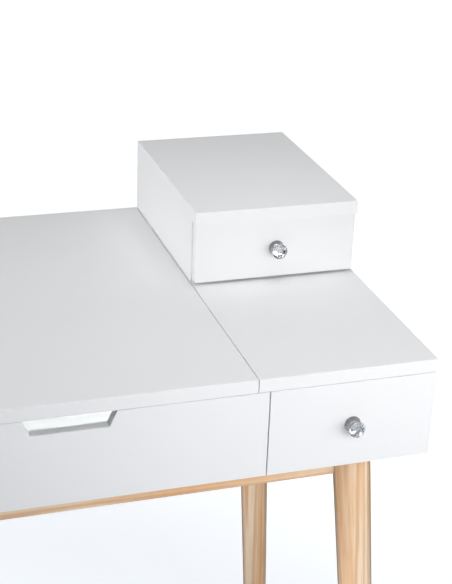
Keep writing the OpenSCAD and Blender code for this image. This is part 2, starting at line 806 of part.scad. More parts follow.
// Clip with a lip under the mirror's edge; the mirror is on its -Y side
module mirror_clip() {
    translate([-clip_l / 2, 0, 0]) rotate([90, 0, 90]) linear_extrude(height = clip_l)
        polygon([[0, 0], [clip_w, 0], [clip_w, -clip_t], [-clip_lip, -clip_t],
                 [-clip_lip, -mirror_t], [0, -mirror_t]]);
}

module mirror_clips() {
    color("white") difference() {
        for (c = clips) translate(c[0]) rotate(c[1]) mirror_clip();
        screw_holes(clip_screws, small_screw);
    }
}

module lid_screws() {
    color("silver") {
        screws(moving_leaf_screws, small_screw);
        screws(clip_screws, small_screw);
    }
}

// ---------------------------------------------------------------- drawers
// Screws of one drawer: four through each side, and four from inside into the front
function drawer_screws_at(b) = [
    for (z = [b[3] + screw_low, b[3] + b[5] - screw_high]) each [
        for (y = [b[2] + wall_t / 2, b[2] + b[4] - wall_t / 2]) each [
            [[b[0], y, z], to_right, wall_t + wood_bite],
            [[b[1], y, z], to_left, wall_t + wood_bite]],
        for (x = [b[0] + wall_t + front_screw_in, b[1] - wall_t - front_screw_in])
            [[x, b[2] + wall_t, z], to_front, wall_t + front_bite]]];

// Groove for the bottom sheet, cut in all four walls
module sheet_room(b, play) {
    inner = wall_t - sheet_groove - play;
    board([b[0] + inner, b[2] + inner, b[3] + sheet_rise - play],
          [b[1] - inner, b[2] + b[4] - inner, b[3] + sheet_rise + sheet_t + play]);
}

// Side wall with its runner groove: side is -1 for the left wall, 1 for the right
module drawer_side(b, side) {
    x = side < 0 ? b[0] : b[1] - wall_t;
    groove_x = side < 0 ? b[0] - cut : b[1] - groove_d;
    difference() {
        board([x, b[2], b[3]], [x + wall_t, b[2] + b[4], b[3] + b[5]]);
        board([groove_x, b[2] - cut, b[3] + runner_rise],
              [groove_x + groove_d + cut, b[2] + b[4] + cut,
               b[3] + runner_rise + runner_h + 2 * slide_gap]);
        sheet_room(b, sheet_play);
        screw_holes(drawer_screws_at(b), wood_screw);
    }
}

module drawer_inner_front(b, knob) {
    difference() {
        board([b[0] + wall_t, b[2], b[3]], [b[1] - wall_t, b[2] + wall_t, b[3] + b[5]]);
        sheet_room(b, sheet_play);
        screw_holes(drawer_screws_at(b), wood_screw);
        knob_hole(knob);
    }
}

// Back wall, tall enough to meet the stop
module drawer_back(b) {
    difference() {
        board([b[0] + wall_t, b[2] + b[4] - wall_t, b[3]],
              [b[1] - wall_t, b[2] + b[4], b[3] + b[5] + stop_h]);
        sheet_room(b, sheet_play);
        screw_holes(drawer_screws_at(b), wood_screw);
    }
}

module knob_hole(at) {
    translate(at - [0, cut, 0]) rotate([-90, 0, 0])
        cylinder(r = knob_screw_r + fit, h = front_t + wall_t + 2 * cut);
}

// Rose, neck and cup as one turned piece, with a threaded hole's room in its back
module knob_base(at) {
    rim_r = crystal_seat_r + rim_gap;
    translate(at) rotate([90, 0, 0]) difference() {
        rotate_extrude() polygon([
            [0, 0], [rose_d / 2, 0], [rose_d / 2, rose_t / 2], [rose_d / 2 - rose_edge, rose_t],
            [knob_neck_r + flare_r, rose_t + flare_l], [knob_neck_r, rose_t + neck_start],
            [knob_neck_r + neck_swell, knob_seat_z - cup_slope_l],
            [knob_cup_r, knob_seat_z - cup_edge_l], [knob_cup_r, knob_rim_z],
            [rim_r + rim_slope, knob_rim_z], [rim_r, knob_seat_z], [0, knob_seat_z]]);
        translate([0, 0, -cut]) cylinder(r = knob_screw_r + fit, h = knob_screw_bite + cut + fit);
    }
}

// One level of the cut glass: a thin prism with n sides
module cut_level(z, r, n, turn) {
    translate([0, 0, z]) rotate(turn) cylinder(r = r, h = cut_t, $fn = n);
}

// Brilliant-cut glass: seat, girdle, crown and table
module knob_crystal(at) {
    r = crystal_d / 2;
    half_facet = 22.5;
    translate(at) rotate([90, 0, 0]) hull() {
        cut_level(knob_seat_z + cut_t, crystal_seat_r, 8, half_facet);
        cut_level(knob_l - girdle_low, r, 16, 0);
        cut_level(knob_l - girdle_high, r, 16, 0);
        cut_level(knob_l - crown_low, r * crown_share, 8, 0);
        cut_level(knob_l - cut_t, crystal_table_r, 8, half_facet);
    }
}

// Pan-head screw from inside the drawer into the knob
module knob_screw(at) {
    reach = front_t + wall_t;
    translate(at + [0, reach, 0]) rotate([90, 0, 0]) {
        translate([0, 0, -knob_screw_head_t]) cylinder(r = knob_screw_head_r, h = knob_screw_head_t);
        cylinder(r = knob_screw_r, h = reach + knob_screw_bite);
    }
}

module main_drawer_front() {
    color("white") difference() {
        board([drawer_front_x0, front_y, fronts_z], [drawer_front_x1, carcass_y0, fronts_top_z]);
        screw_holes(drawer_screws_at(main_box), wood_screw);
        knob_hole(main_knob);
    }
}

module main_drawer_inner_front() { color("whitesmoke") drawer_inner_front(main_box, main_knob); }
module main_drawer_left_side() { color("whitesmoke") drawer_side(main_box, -1); }
module main_drawer_right_side() { color("whitesmoke") drawer_side(main_box, 1); }
module main_drawer_back() { color("whitesmoke") drawer_back(main_box); }
module main_drawer_bottom() { color("ivory") sheet_room(main_box, 0); }
module main_drawer_screws() { color("silver") screws(drawer_screws_at(main_box), wood_screw); }
module main_knob_base() { color("silver") knob_base(main_knob); }
module main_knob_crystal() { color("azure") knob_crystal(main_knob); }
module main_knob_screw() { color("silver") knob_screw(main_knob); }

// ---------------------------------------------------------------- box on the fixed top

module box_top() {
    color("white") difference() {
        board([box_x0, box_y0, box_under_z], [box_x1, back_y, table_h + box_h]);
        screw_holes(stop_screws, small_screw);
        dowel_holes();
    }
}

module box_side(x) {
    difference() {
        board([x, box_wall_y0, table_h], [x + wall_t, back_y, box_under_z]);
        screw_holes(box_runner_screws, small_screw);
        dowel_holes();
    }
}

module box_left_side() { color("white") box_side(box_x0); }
module box_right_side() { color("white") box_side(box_x1 - wall_t); }

module box_bottom() {
    color("whitesmoke") difference() {
        board([box_bay_left, box_wall_y0, table_h], [box_bay_right, back_y, box_floor_z]);
        screw_holes(box_fixing_screws, wood_screw);
        dowel_holes();
    }
}

module box_back() {
    color("white") difference() {
        board([box_bay_left, back_y - wall_t, box_floor_z], [box_bay_right, back_y, box_under_z]);
        dowel_holes();
    }
}

module box_runners() {
    color("gainsboro") difference() {
        runner_pair(box_bay_left, box_bay_right, box_runner_y0, box_runner_z, box_runner_l);
        screw_holes(box_runner_screws, small_screw);
    }
}

module box_drawer_front() {
    color("white") difference() {
        board([box_x0 + box_front_left, box_wall_y0 - front_t, box_front_z],
              [box_x1 - box_front_right, box_wall_y0, box_front_top_z]);
        screw_holes(drawer_screws_at(small_box), wood_screw);
        knob_hole(box_knob);
    }
}

module box_drawer_inner_front() { color("whitesmoke") drawer_inner_front(small_box, box_knob); }
module box_drawer_left_side() { color("whitesmoke") drawer_side(small_box, -1); }
module box_drawer_right_side() { color("whitesmoke") drawer_side(small_box, 1); }
module box_drawer_back() { color("whitesmoke") drawer_back(small_box); }
module box_drawer_bottom() { color("ivory") sheet_room(small_box, 0); }
module box_drawer_screws() { color("silver") screws(drawer_screws_at(small_box), wood_screw); }
module box_knob_base() { color("silver") knob_base(box_knob); }
module box_knob_crystal() { color("azure") knob_crystal(box_knob); }
module box_knob_screw() { color("silver") knob_screw(box_knob); }

leg_front_left();
leg_front_right();
leg_rear_left();
leg_rear_right();
front_rail();
rear_rail();
left_rail();
right_rail();
corner_blocks();
leg_bolts();
leg_inserts();
foot_pads();
frame_screws();
bottom_panel();
left_side_panel();
right_side_panel();
divider_panel();
back_panel();
front_fascia();
fixed_top();
dowels();
cams();
cam_bolts();
carcass_screws();
main_runners();
drawer_stops();
hinge_fixed_leaves();
hinge_pins();
hinge_moving_leaves();
lid_panel();
lid_mirror();
mirror_clips();
lid_screws();
main_drawer_front();
main_drawer_inner_front();
main_drawer_left_side();
main_drawer_right_side();
main_drawer_back();
main_drawer_bottom();
main_drawer_screws();
main_knob_base();
main_knob_crystal();
main_knob_screw();
box_top();
box_left_side();
box_right_side();
box_bottom();
box_back();
box_runners();
box_drawer_front();
box_drawer_inner_front();
box_drawer_left_side();
box_drawer_right_side();
box_drawer_back();
box_drawer_bottom();
box_drawer_screws();
box_knob_base();
box_knob_crystal();
box_knob_screw();
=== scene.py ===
# %% [markdown]
# # A flip top vanity table
# The table is a white panel cabinet on splayed wooden legs. Its lid hides a mirror and a compartment,
# and a small box with a drawer stands on the fixed top beside it. The construction is loaded as a
# fixed frame of named parts, so this lesson only dresses it: softened edges, turned legs, cut glass,
# screws with a recess, and the finishes. Everything is in metres, X to the right, Y to the back and
# Z up, with the floor at zero.

# %% Load the frame
import json
import math

import bmesh
import bpy
import numpy as np
from mathutils import Euler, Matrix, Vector

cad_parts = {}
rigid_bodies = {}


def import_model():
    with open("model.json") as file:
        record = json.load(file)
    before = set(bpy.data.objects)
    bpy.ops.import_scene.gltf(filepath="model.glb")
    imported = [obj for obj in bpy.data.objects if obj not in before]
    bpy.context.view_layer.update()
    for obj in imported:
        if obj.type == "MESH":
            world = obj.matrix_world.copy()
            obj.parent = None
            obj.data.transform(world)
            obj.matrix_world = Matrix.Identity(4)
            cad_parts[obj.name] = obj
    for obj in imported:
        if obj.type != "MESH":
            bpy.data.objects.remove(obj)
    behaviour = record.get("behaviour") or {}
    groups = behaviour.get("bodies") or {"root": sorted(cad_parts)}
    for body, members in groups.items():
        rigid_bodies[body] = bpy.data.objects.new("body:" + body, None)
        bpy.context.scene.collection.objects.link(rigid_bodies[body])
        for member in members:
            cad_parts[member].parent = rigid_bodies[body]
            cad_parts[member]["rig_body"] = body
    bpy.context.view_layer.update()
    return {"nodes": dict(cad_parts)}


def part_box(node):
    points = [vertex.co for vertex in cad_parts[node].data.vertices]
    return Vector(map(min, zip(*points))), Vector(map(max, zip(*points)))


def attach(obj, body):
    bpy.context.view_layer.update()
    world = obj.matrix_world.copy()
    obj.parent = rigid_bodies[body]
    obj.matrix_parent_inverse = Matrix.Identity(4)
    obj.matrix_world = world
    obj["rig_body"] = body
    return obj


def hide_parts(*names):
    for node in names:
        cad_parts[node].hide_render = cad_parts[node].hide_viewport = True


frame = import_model()
nodes = frame["nodes"]
slot_of = {name: part.material_slots[0].material.name for name, part in nodes.items()}
MM = 0.001

# %% [markdown]
# ## Grids of points
# A new piece is a grid of points: rows along one parameter, columns round a closed outline along the
# other. Its first and last rows are closed with a flat face, so the piece is watertight. The formula
# also gives the exact direction of the surface at each point. It is handed to Blender as a custom
# normal, and a flat face beside a tiny round edge then stays perfectly flat in the light.

# %% Pieces from grids
def grid_faces(rows, columns, first=0):
    """Faces of a grid whose points are numbered row by row from first.

    A quad joins (row, column) to the next row and column. The last column joins the first, and the
    first and the last row are each closed by one face."""
    i, j = np.meshgrid(np.arange(rows - 1), np.arange(columns), indexing="ij")
    k = (j + 1) % columns
    quads = np.stack([i * columns + j, i * columns + k, (i + 1) * columns + k, (i + 1) * columns + j], -1)
    caps = [np.arange(columns)[::-1] + first, np.arange(columns) + (rows - 1) * columns + first]
    return (quads.reshape(-1, 4) + first).tolist() + [cap.tolist() for cap in caps]


def join_grids(grids):
    """Several (points, normals) grids as one list of points, one of normals and one of faces."""
    points, normals, faces, first = [], [], [], 0
    for grid, directions in grids:
        faces += grid_faces(*grid.shape[:2], first)
        points.append(grid.reshape(-1, 3))
        normals.append(directions.reshape(-1, 3))
        first += grid.shape[0] * grid.shape[1]
    return np.vstack(points), np.vstack(normals), faces


print("a grid of 3 x 8 points has", len(grid_faces(3, 8)), "faces with its caps")

# %% [markdown]
# ## Meshes that stand for parts
# Points and faces become a mesh, and the mesh becomes a piece that stands in for one of the frame's
# parts. From then on the part is hidden, and the piece moves with the same body.

# %% Meshes and stand-ins
def stand_in(name, mesh, node, materials, picks=None):
    """Shows a mesh in place of a CAD node: it rides where the node rides.

    picks holds the number of each face's material."""
    for material in materials:
        mesh.materials.append(material)
    if picks is not None:
        mesh.polygons.foreach_set("material_index", np.asarray(picks, np.int32))
    piece = bpy.data.objects.new(name, mesh)
    bpy.context.scene.collection.objects.link(piece)
    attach(piece, nodes[node]["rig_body"])
    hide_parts(node)
    return piece


def surface(name, points, faces, normals=None):
    """A mesh from points (n x 3) and faces, smooth where normals are given and flat otherwise."""
    mesh = bpy.data.meshes.new(name)
    mesh.from_pydata(points.tolist(), [], faces)
    if normals is not None:
        mesh.shade_smooth()
        unit = normals / np.linalg.norm(normals, axis=1, keepdims=True)
        mesh.normals_split_custom_set_from_vertices(unit.tolist())
    return mesh


# %% [markdown]
# ## Outlines with rounded corners
# Plates, turned knobs and legs all start as a few corner points. Each corner is replaced by an arc
# that touches both its sides, so the list of points stays short and a radius is a real size that can
# be changed.

# %% Rounded outlines
def rounded(corners, radii, steps=4, closed=True):
    """Corner points with an arc at each corner, and the direction to the right of the path there.

    An arc touches both sides at radius * tan(half the turn) from the corner, and the turn itself
    sweeps it. An open path keeps its two end points."""
    points = np.asarray(corners, float)
    radii = np.broadcast_to(np.asarray(radii, float), len(points))
    before = points - np.roll(points, 1, 0)
    before /= np.linalg.norm(before, axis=1, keepdims=True)
    after = np.roll(before, -1, 0)
    cross_product = before[:, 0] * after[:, 1] - before[:, 1] * after[:, 0]
    turn = np.arctan2(cross_product, (before * after).sum(1))
    start = points - before * (radii * np.tan(np.abs(turn) / 2))[:, None]
    right = np.stack([before[:, 1], -before[:, 0]], 1)
    centre = start - right * (radii * np.sign(turn))[:, None]
    angle = turn[:, None] * np.linspace(0, 1, steps + 1)
    cos, sin = np.cos(angle), np.sin(angle)

    def swing(v):
        """Turns each row's direction by that row's angles."""
        return np.stack([cos * v[:, :1] - sin * v[:, 1:], sin * v[:, :1] + cos * v[:, 1:]], -1)

    path, out = centre[:, None] + swing(start - centre), swing(right)
    if closed:
        return path.reshape(-1, 2), out.reshape(-1, 2)
    ends = np.stack([right[1], right[-1]])
    return (np.vstack([points[:1], path[1:-1].reshape(-1, 2), points[-1:]]),
            np.vstack([ends[:1], out[1:-1].reshape(-1, 2), ends[1:]]))


square, _ = rounded([(0, 0), (1, 0), (1, 1), (0, 1)], 0.1)
print("a square with rounded corners has", len(square), "points")

# %% [markdown]
# ## Turned shapes and plates
# An outline becomes a solid in one of two ways. A lathe carries a profile round an axis, and a plate
# gives a flat outline a thickness, with both its rims rounded by a quarter circle.

# %% Turned shapes and plates
def deepen(flat, heights):
    """Adds a third coordinate, one per row, to a grid of flat points."""
    return np.dstack([flat, np.broadcast_to(heights[:, None, None], flat.shape[:2] + (1,))])


def turned(profile, directions, angles):
    """A profile of (radius, height) carried round the Z axis: point = (r cos a, r sin a, h)."""
    ring = np.stack([np.cos(angles), np.sin(angles)], 1)
    return (deepen(profile[:, None, :1] * ring, profile[:, 1]),
            deepen(directions[:, None, :1] * ring, directions[:, 1]))


def plate(outline, out, low, high, edge, steps=3):
    """A closed outline in X and Y made thick along Z, with both rims rounded by a quarter circle.

    Along a rim the outline shrinks by edge * (1 - cos a) while the height moves by edge * sin a."""
    a = np.linspace(-np.pi / 2, 0, steps + 1)
    tilt = np.concatenate([a, -a[::-1]])
    heights = np.concatenate([low + edge * (1 + np.sin(a)), high - edge * (1 + np.sin(a[::-1]))])
    flat = outline - out * (edge * (1 - np.cos(tilt)))[:, None, None]
    return deepen(flat, heights), deepen(out * np.cos(tilt)[:, None, None], np.sin(tilt))


def around(columns):
    """Equal angles once round a circle."""
    return np.linspace(0, 2 * np.pi, columns, endpoint=False)


print("four columns of a turned piece stand at", np.degrees(around(4)), "degrees")

# %% [markdown]
# ## Tools for node trees
# A material is a small network of nodes. These helpers add a node, feed its sockets with a number or
# another node, and wrap the arithmetic that comes back in every finish.

# %% Adding nodes and arithmetic
def add(tree, kind, **settings):
    """A new shader node of that kind, with its properties set."""
    node = tree.nodes.new("ShaderNode" + kind)
    for key, value in settings.items():
        setattr(node, key, value)
    return node


def feed(tree, source, socket):
    """Links a source socket, or writes a plain value."""
    if isinstance(source, bpy.types.NodeSocket):
        tree.links.new(source, socket)
    else:
        socket.default_value = source


def run(tree, node, sources, output=0):
    """Feeds a node's first sockets in order and returns one of its outputs."""
    for source, socket in zip(sources, node.inputs):
        feed(tree, source, socket)
    return node.outputs[output]


def calc(tree, operation, *sources):
    """Arithmetic on single values."""
    return run(tree, add(tree, "Math", operation=operation), sources)


def vector_calc(tree, operation, a, b):
    """Arithmetic on two vectors, which gives a vector or, for a product or a distance, one value."""
    node = add(tree, "VectorMath", operation=operation)
    return run(tree, node, (a, b), "Value" if operation in ("DOT_PRODUCT", "DISTANCE") else "Vector")


def smooth_range(tree, value, low, high, to_low, to_high):
    """A soft step: goes from to_low to to_high while the value goes from low to high."""
    node = add(tree, "MapRange", interpolation_type="SMOOTHSTEP")
    return run(tree, node, (value, low, high, to_low, to_high))


print("arithmetic tools:", ", ".join(tool.__name__ for tool in (calc, vector_calc, smooth_range)))

# %% [markdown]
# ## Noise, bumps and mixed colours
# Three more steps make a surface look real: soft random values that break up an even tone, a bump whose
# depth is a real one in metres, and a mix of two colours.

# %% Noise, relief and mix
def noise(tree, vector, scale, detail=2.0):
    """Soft random values between 0 and 1, with so many swings per metre."""
    node = add(tree, "TexNoise")
    feed(tree, vector, node.inputs["Vector"])
    node.inputs["Scale"].default_value = scale
    node.inputs["Detail"].default_value = detail
    return node.outputs["Fac"]


def relief(tree, height, depth):
    """A normal from a height between 0 and 1, whose full size is depth, in metres."""
    node = add(tree, "Bump")
    feed(tree, depth, node.inputs["Distance"])
    feed(tree, height, node.inputs["Height"])
    return node.outputs["Normal"]


# A Mix node has sockets for numbers, vectors and colours in turn; these are the ones that mix colours.
MIX_FACTOR, MIX_A, MIX_B, MIX_RESULT = 0, 6, 7, 2


def mix(tree, factor, a, b, how="MIX"):
    """Two colours mixed by a factor."""
    node = add(tree, "Mix", data_type="RGBA", blend_type=how)
    for source, number in ((factor, MIX_FACTOR), (a, MIX_A), (b, MIX_B)):
        feed(tree, source, node.inputs[number])
    return node.outputs[MIX_RESULT]


print("surface tools:", ", ".join(tool.__name__ for tool in (noise, relief, mix)))

# %% [markdown]
# ## Finishes as node groups
# A finish that several materials share is a node group. It takes the place on the piece as a vector
# and its strengths as named inputs, and it always gives a colour, a roughness and a normal, so any
# finish can be plugged into any material.

# %% Finish groups
FINISH_OUTPUTS = {"Colour": "Color", "Roughness": "Float", "Normal": "Vector"}


def finish_group(name, inputs):
    """A node group with named inputs after its vector, and the outputs that every finish needs."""
    tree = bpy.data.node_groups.new(name, "ShaderNodeTree")
    for label, kind, value in [("Vector", "Vector", (0, 0, 0)), *inputs]:
        socket = tree.interface.new_socket(label, in_out="INPUT", socket_type="NodeSocket" + kind)
        socket.default_value = value
    for label, kind in FINISH_OUTPUTS.items():
        tree.interface.new_socket(label, in_out="OUTPUT", socket_type="NodeSocket" + kind)
    return tree, tree.nodes.new("NodeGroupInput").outputs, tree.nodes.new("NodeGroupOutput").inputs


def give(tree, outputs, colour, roughness, normal):
    """Links what a finish has worked out to its group's outputs."""
    for label, source in zip(FINISH_OUTPUTS, (colour, roughness, normal)):
        tree.links.new(source, outputs[label])
    print("node group", tree.name, "has", len(tree.nodes), "nodes")


print("every finish gives a", ", a ".join(FINISH_OUTPUTS))

# %% [markdown]
# ## White film on board
# The cabinet is made of pressed board under a satin white skin. Such a skin is never quite even: it
# has a faint orange peel about a millimetre across, a shine that changes a little from place to place,
# and a tone that drifts by a percent or two over a hand's width. One group makes all three, and each
# board passes in its own strengths.

# %% The board film group
TONES_PER_M, PATCHES_PER_M, PEEL_PER_M = 4, 38, 750
film, inside, outside = finish_group("board film", [
    ("Colour", "Color", (0.8, 0.8, 0.8, 1)),
    ("Drift", "Float", 0.02),
    ("Roughness", "Float", 0.4),
    ("Patchiness", "Float", 0.06),
    ("Peel", "Float", 6e-6)])
tone = smooth_range(film, noise(film, inside["Vector"], TONES_PER_M, 3), 0.3, 0.7, 0.0, 1.0)
shade = calc(film, "SUBTRACT", 1.0, calc(film, "MULTIPLY", tone, inside["Drift"]))
colour = mix(film, 1.0, inside["Colour"], shade, "MULTIPLY")
patches = calc(film, "SUBTRACT", noise(film, inside["Vector"], PATCHES_PER_M, 2), 0.5)
gloss = calc(film, "MULTIPLY_ADD", patches, inside["Patchiness"], inside["Roughness"])
peel = noise(film, inside["Vector"], PEEL_PER_M, 1)
give(film, outside, colour, gloss, relief(film, peel, inside["Peel"]))

# %% [markdown]
# ## Pale wood
# The legs and rails are pale solid wood. Its grain runs along Z of the vector that comes in: broad
# cream and orange bands, growth rings seen edge-on as streaks that wander a little, and fine dark
# pores. Squeezing the vector along the grain before it reaches the noise is what draws each spot out
# into a streak.

# %% The wood grain group
BANDS_PER_M, WANDERS_PER_M, PORES_PER_M = 70, 26, 1100
BAND_SQUEEZE, PORE_SQUEEZE = (1, 1, 0.045), (1, 1, 0.02)
ACROSS_RINGS = (0.83, 0.56, 0.012)
WANDER, PORE_DULLNESS, PORE_DEPTH = 0.03, 0.12, 2e-5
wood, inside, outside = finish_group("wood grain", [
    ("Pale", "Color", (0.8, 0.6, 0.4, 1)),
    ("Warm", "Color", (0.6, 0.4, 0.2, 1)),
    ("Dark", "Color", (0.3, 0.2, 0.1, 1)),
    ("Ring", "Float", 0.006),
    ("Rings", "Float", 0.5),
    ("Pores", "Float", 0.1),
    ("Roughness", "Float", 0.5)])
long_way = vector_calc(wood, "MULTIPLY", inside["Vector"], BAND_SQUEEZE)
bands = smooth_range(wood, noise(wood, long_way, BANDS_PER_M, 2), 0.36, 0.62, 0.0, 1.0)
across = vector_calc(wood, "DOT_PRODUCT", inside["Vector"], ACROSS_RINGS)
sway = calc(wood, "SUBTRACT", noise(wood, long_way, WANDERS_PER_M, 3), 0.5)
wander = calc(wood, "MULTIPLY", sway, WANDER)
turns = calc(wood, "DIVIDE", calc(wood, "ADD", across, wander), inside["Ring"])
wave = calc(wood, "SINE", calc(wood, "MULTIPLY", turns, 2 * math.pi))
late = calc(wood, "MULTIPLY", smooth_range(wood, wave, 0.1, 1.0, 0.0, 1.0), inside["Rings"])
pore_way = vector_calc(wood, "MULTIPLY", inside["Vector"], PORE_SQUEEZE)
pores = smooth_range(wood, noise(wood, pore_way, PORES_PER_M, 2), 0.52, 0.72, 0.0, 1.0)
colour = mix(wood, late, mix(wood, bands, inside["Pale"], inside["Warm"]), inside["Dark"])
colour = mix(wood, calc(wood, "MULTIPLY", pores, inside["Pores"]), colour, inside["Dark"])
gloss = calc(wood, "MULTIPLY_ADD", pores, PORE_DULLNESS, inside["Roughness"])
give(wood, outside, colour, gloss, relief(wood, calc(wood, "SUBTRACT", 1.0, pores), PORE_DEPTH))

# %% [markdown]
# ## Plated metal
# Plated metal has fine handling marks that break up its shine, and cheap zinc plating has dull clouds
# as well. Knobs, hinges, screws and the mirror's silvering all share this group.

# %% The plated metal group
CLOUDS_PER_M, MARKS_PER_M = 160, 420
MARK_SQUEEZE, MARK_DEPTH = (1, 6, 2), 1e-6
GREY = (0.6, 0.6, 0.6, 1)
metal, inside, outside = finish_group("plated metal", [
    ("Colour", "Color", GREY),
    ("Clouds", "Float", 0.1),
    ("Roughness", "Float", 0.1),
    ("Marks", "Float", 0.05)])
cloud = noise(metal, inside["Vector"], CLOUDS_PER_M, 3)
dull = calc(metal, "SUBTRACT", 1.0, calc(metal, "MULTIPLY", cloud, inside["Clouds"]))
mark_way = vector_calc(metal, "MULTIPLY", inside["Vector"], MARK_SQUEEZE)
marks = smooth_range(metal, noise(metal, mark_way, MARKS_PER_M, 4), 0.45, 0.75, 0.0, 1.0)
colour = mix(metal, 1.0, inside["Colour"], dull, "MULTIPLY")
gloss = calc(metal, "MULTIPLY_ADD", marks, inside["Marks"], inside["Roughness"])
give(metal, outside, colour, gloss, relief(metal, marks, MARK_DEPTH))

# %% [markdown]
# ## Moulded plastic
# Moulded plastic has an even, slightly pebbled skin, and its tone drifts a little where the melt cooled
# at different speeds. Runners, clips and foot pads share this group, and so does the mirror's ground
# rim, because dull ground glass has the same fine pebble.

# %% The moulded plastic group
DRIFTS_PER_M, PEBBLES_PER_M, PEBBLE_DULLNESS = 25, 1400, 0.1
plastic, inside, outside = finish_group("moulded plastic", [
    ("Colour", "Color", GREY),
    ("Drift", "Float", 0.05),
    ("Roughness", "Float", 0.4),
    ("Pebble", "Float", 8e-6)])
tone = calc(plastic, "MULTIPLY", noise(plastic, inside["Vector"], DRIFTS_PER_M, 2), inside["Drift"])
colour = mix(plastic, 1.0, inside["Colour"], calc(plastic, "SUBTRACT", 1.0, tone), "MULTIPLY")
pebble = noise(plastic, inside["Vector"], PEBBLES_PER_M, 2)
gloss = calc(plastic, "MULTIPLY_ADD", pebble, PEBBLE_DULLNESS, inside["Roughness"])
give(plastic, outside, colour, gloss, relief(plastic, pebble, inside["Pebble"]))


# %% [markdown]
# ## Materials
# Each material is one Principled shader. Plain numbers, such as how strongly it shines, are written on
# the shader's own sockets, and what changes over the surface comes from a group.

# %% Material builder
def material(name, numbers, group_tree=None, attribute=None, **values):
    """A Principled material: plain numbers by socket name, and a finish group fed with a place.

    The place is the named attribute where there is one, and otherwise the Object coordinates."""
    made = bpy.data.materials.new(name)
    made.use_nodes = True
    tree = made.node_tree
    shader = tree.nodes["Principled BSDF"]
    for label, value in numbers.items():
        shader.inputs[label].default_value = value
    if group_tree:
        place = (add(tree, "Attribute", attribute_name=attribute).outputs["Vector"] if attribute
                 else add(tree, "TexCoord").outputs["Object"])
        finish = add(tree, "Group", node_tree=group_tree)
        tree.links.new(place, finish.inputs["Vector"])
        for label, value in values.items():
            finish.inputs[label].default_value = value
        for label, socket in zip(FINISH_OUTPUTS, ("Base Color", "Roughness", "Normal")):
            tree.links.new(finish.outputs[label], shader.inputs[socket])
    return made


def shine(level):
    """How strongly a material that isn't metal shines."""
    return {"Specular IOR Level": level}


METAL = {"Metallic": 1.0}
print("plain board shines at", shine(0.5))

# %% [markdown]
# ## Boards and wood
# The outside has the smoothest skin. The drawers' insides are cheaper and a little rougher, and their
# bottom sheets rougher still. The visible wood takes its grain from the piece's own attribute, and the
# dowels, which nobody sees, from Object coordinates.

# %% Board and wood materials
satin_white = material("satin white", shine(0.5), film, Colour=(0.845, 0.85, 0.856, 1), Drift=0.02,
                       Roughness=0.36, Patchiness=0.06, Peel=6e-6)
drawer_white = material("drawer white", shine(0.4), film, Colour=(0.82, 0.82, 0.815, 1), Drift=0.04,
                        Roughness=0.5, Patchiness=0.1, Peel=1.2e-5)
bottom_sheet = material("bottom sheet", shine(0.3), film, Colour=(0.80, 0.79, 0.76, 1), Drift=0.06,
                        Roughness=0.6, Patchiness=0.12, Peel=2.5e-5)
WOOD = dict(Pale=(0.885, 0.695, 0.50, 1), Warm=(0.80, 0.49, 0.265, 1), Dark=(0.57, 0.285, 0.13, 1))
pale_wood = material("pale wood", shine(0.2), wood, "grain", **WOOD, Ring=0.0085, Rings=0.45,
                     Pores=0.3, Roughness=0.5)
dowel_wood = material("dowel wood", shine(0.3), wood, **WOOD, Ring=0.002, Rings=0.2, Pores=0.4,
                      Roughness=0.6)
ring = pale_wood.node_tree.nodes["Group"].inputs["Ring"].default_value
print("pale wood has growth rings", round(ring / MM, 1), "mm apart")

# %% [markdown]
# ## Painted shade along the wood's edges
# Where the wood turns away from the eye, its base colour is darkened towards a brown, so a leg is darker
# along its edges: this is painted shade at the edges. Layer Weight measures the slant, and belongs in the
# material itself.

# %% Painted edge shade
# painted shade: the brown that the wood's base colour is darkened towards along its edges
EDGE_SHADE_COLOUR = (0.16, 0.085, 0.03, 1)
SLANT_START, SLANT_END, SLANT_STRENGTH = 0.42, 0.95, 0.9
tree = pale_wood.node_tree
shader = tree.nodes["Principled BSDF"]
facing = add(tree, "LayerWeight").outputs["Facing"]
# painted shade: how far the base colour is darkened where the surface is seen at a slant
slant = smooth_range(tree, facing, SLANT_START, SLANT_END, 0.0, SLANT_STRENGTH)
grain_colour = shader.inputs["Base Color"].links[0].from_socket
tree.links.new(mix(tree, slant, grain_colour, EDGE_SHADE_COLOUR), shader.inputs["Base Color"])
# the printed slant is where the painted edge shade begins
print("varnish darkens pale wood from a slant of", SLANT_START)

# %% [markdown]
# ## Metals and mirror
# Knobs and hinges are chromed, the fittings are zinc plated, and the inserts in the legs are brass. The
# mirror's silvering is almost perfect, and its ground rim is dull green glass. The foil behind the
# knobs' glass is a darker, smooth metal.

# %% Metal and mirror materials
chrome = material("chrome", METAL, metal, Colour=(0.42, 0.425, 0.435, 1), Clouds=0.04, Roughness=0.05,
                  Marks=0.05)
zinc = material("zinc plate", METAL, metal, Colour=(0.62, 0.63, 0.65, 1), Clouds=0.3, Roughness=0.28,
                Marks=0.2)
brass = material("brass", METAL, metal, Colour=(0.72, 0.52, 0.24, 1), Clouds=0.15, Roughness=0.25,
                 Marks=0.15)
silvering = material("silvering", METAL, metal, Colour=(0.86, 0.875, 0.87, 1), Clouds=0.01,
                     Roughness=0.015, Marks=0.01)
mirror_edge = material("ground mirror edge", shine(0.6), plastic, Colour=(0.30, 0.42, 0.39, 1),
                       Drift=0.3, Roughness=0.22, Pebble=6e-6)
foil = material("foil behind the cut glass", METAL, metal, Colour=(0.58, 0.59, 0.62, 1), Clouds=0.02,
                Roughness=0.03, Marks=0.02)
print(chrome.name, zinc.name, brass.name, silvering.name, mirror_edge.name, foil.name, sep=", ")

# %% [markdown]
# ## Plastics
# The runners are an opaque white, the mirror's clips are clearer and let a little light in below their
# skin, and the foot pads are dark and rough, so that they grip.

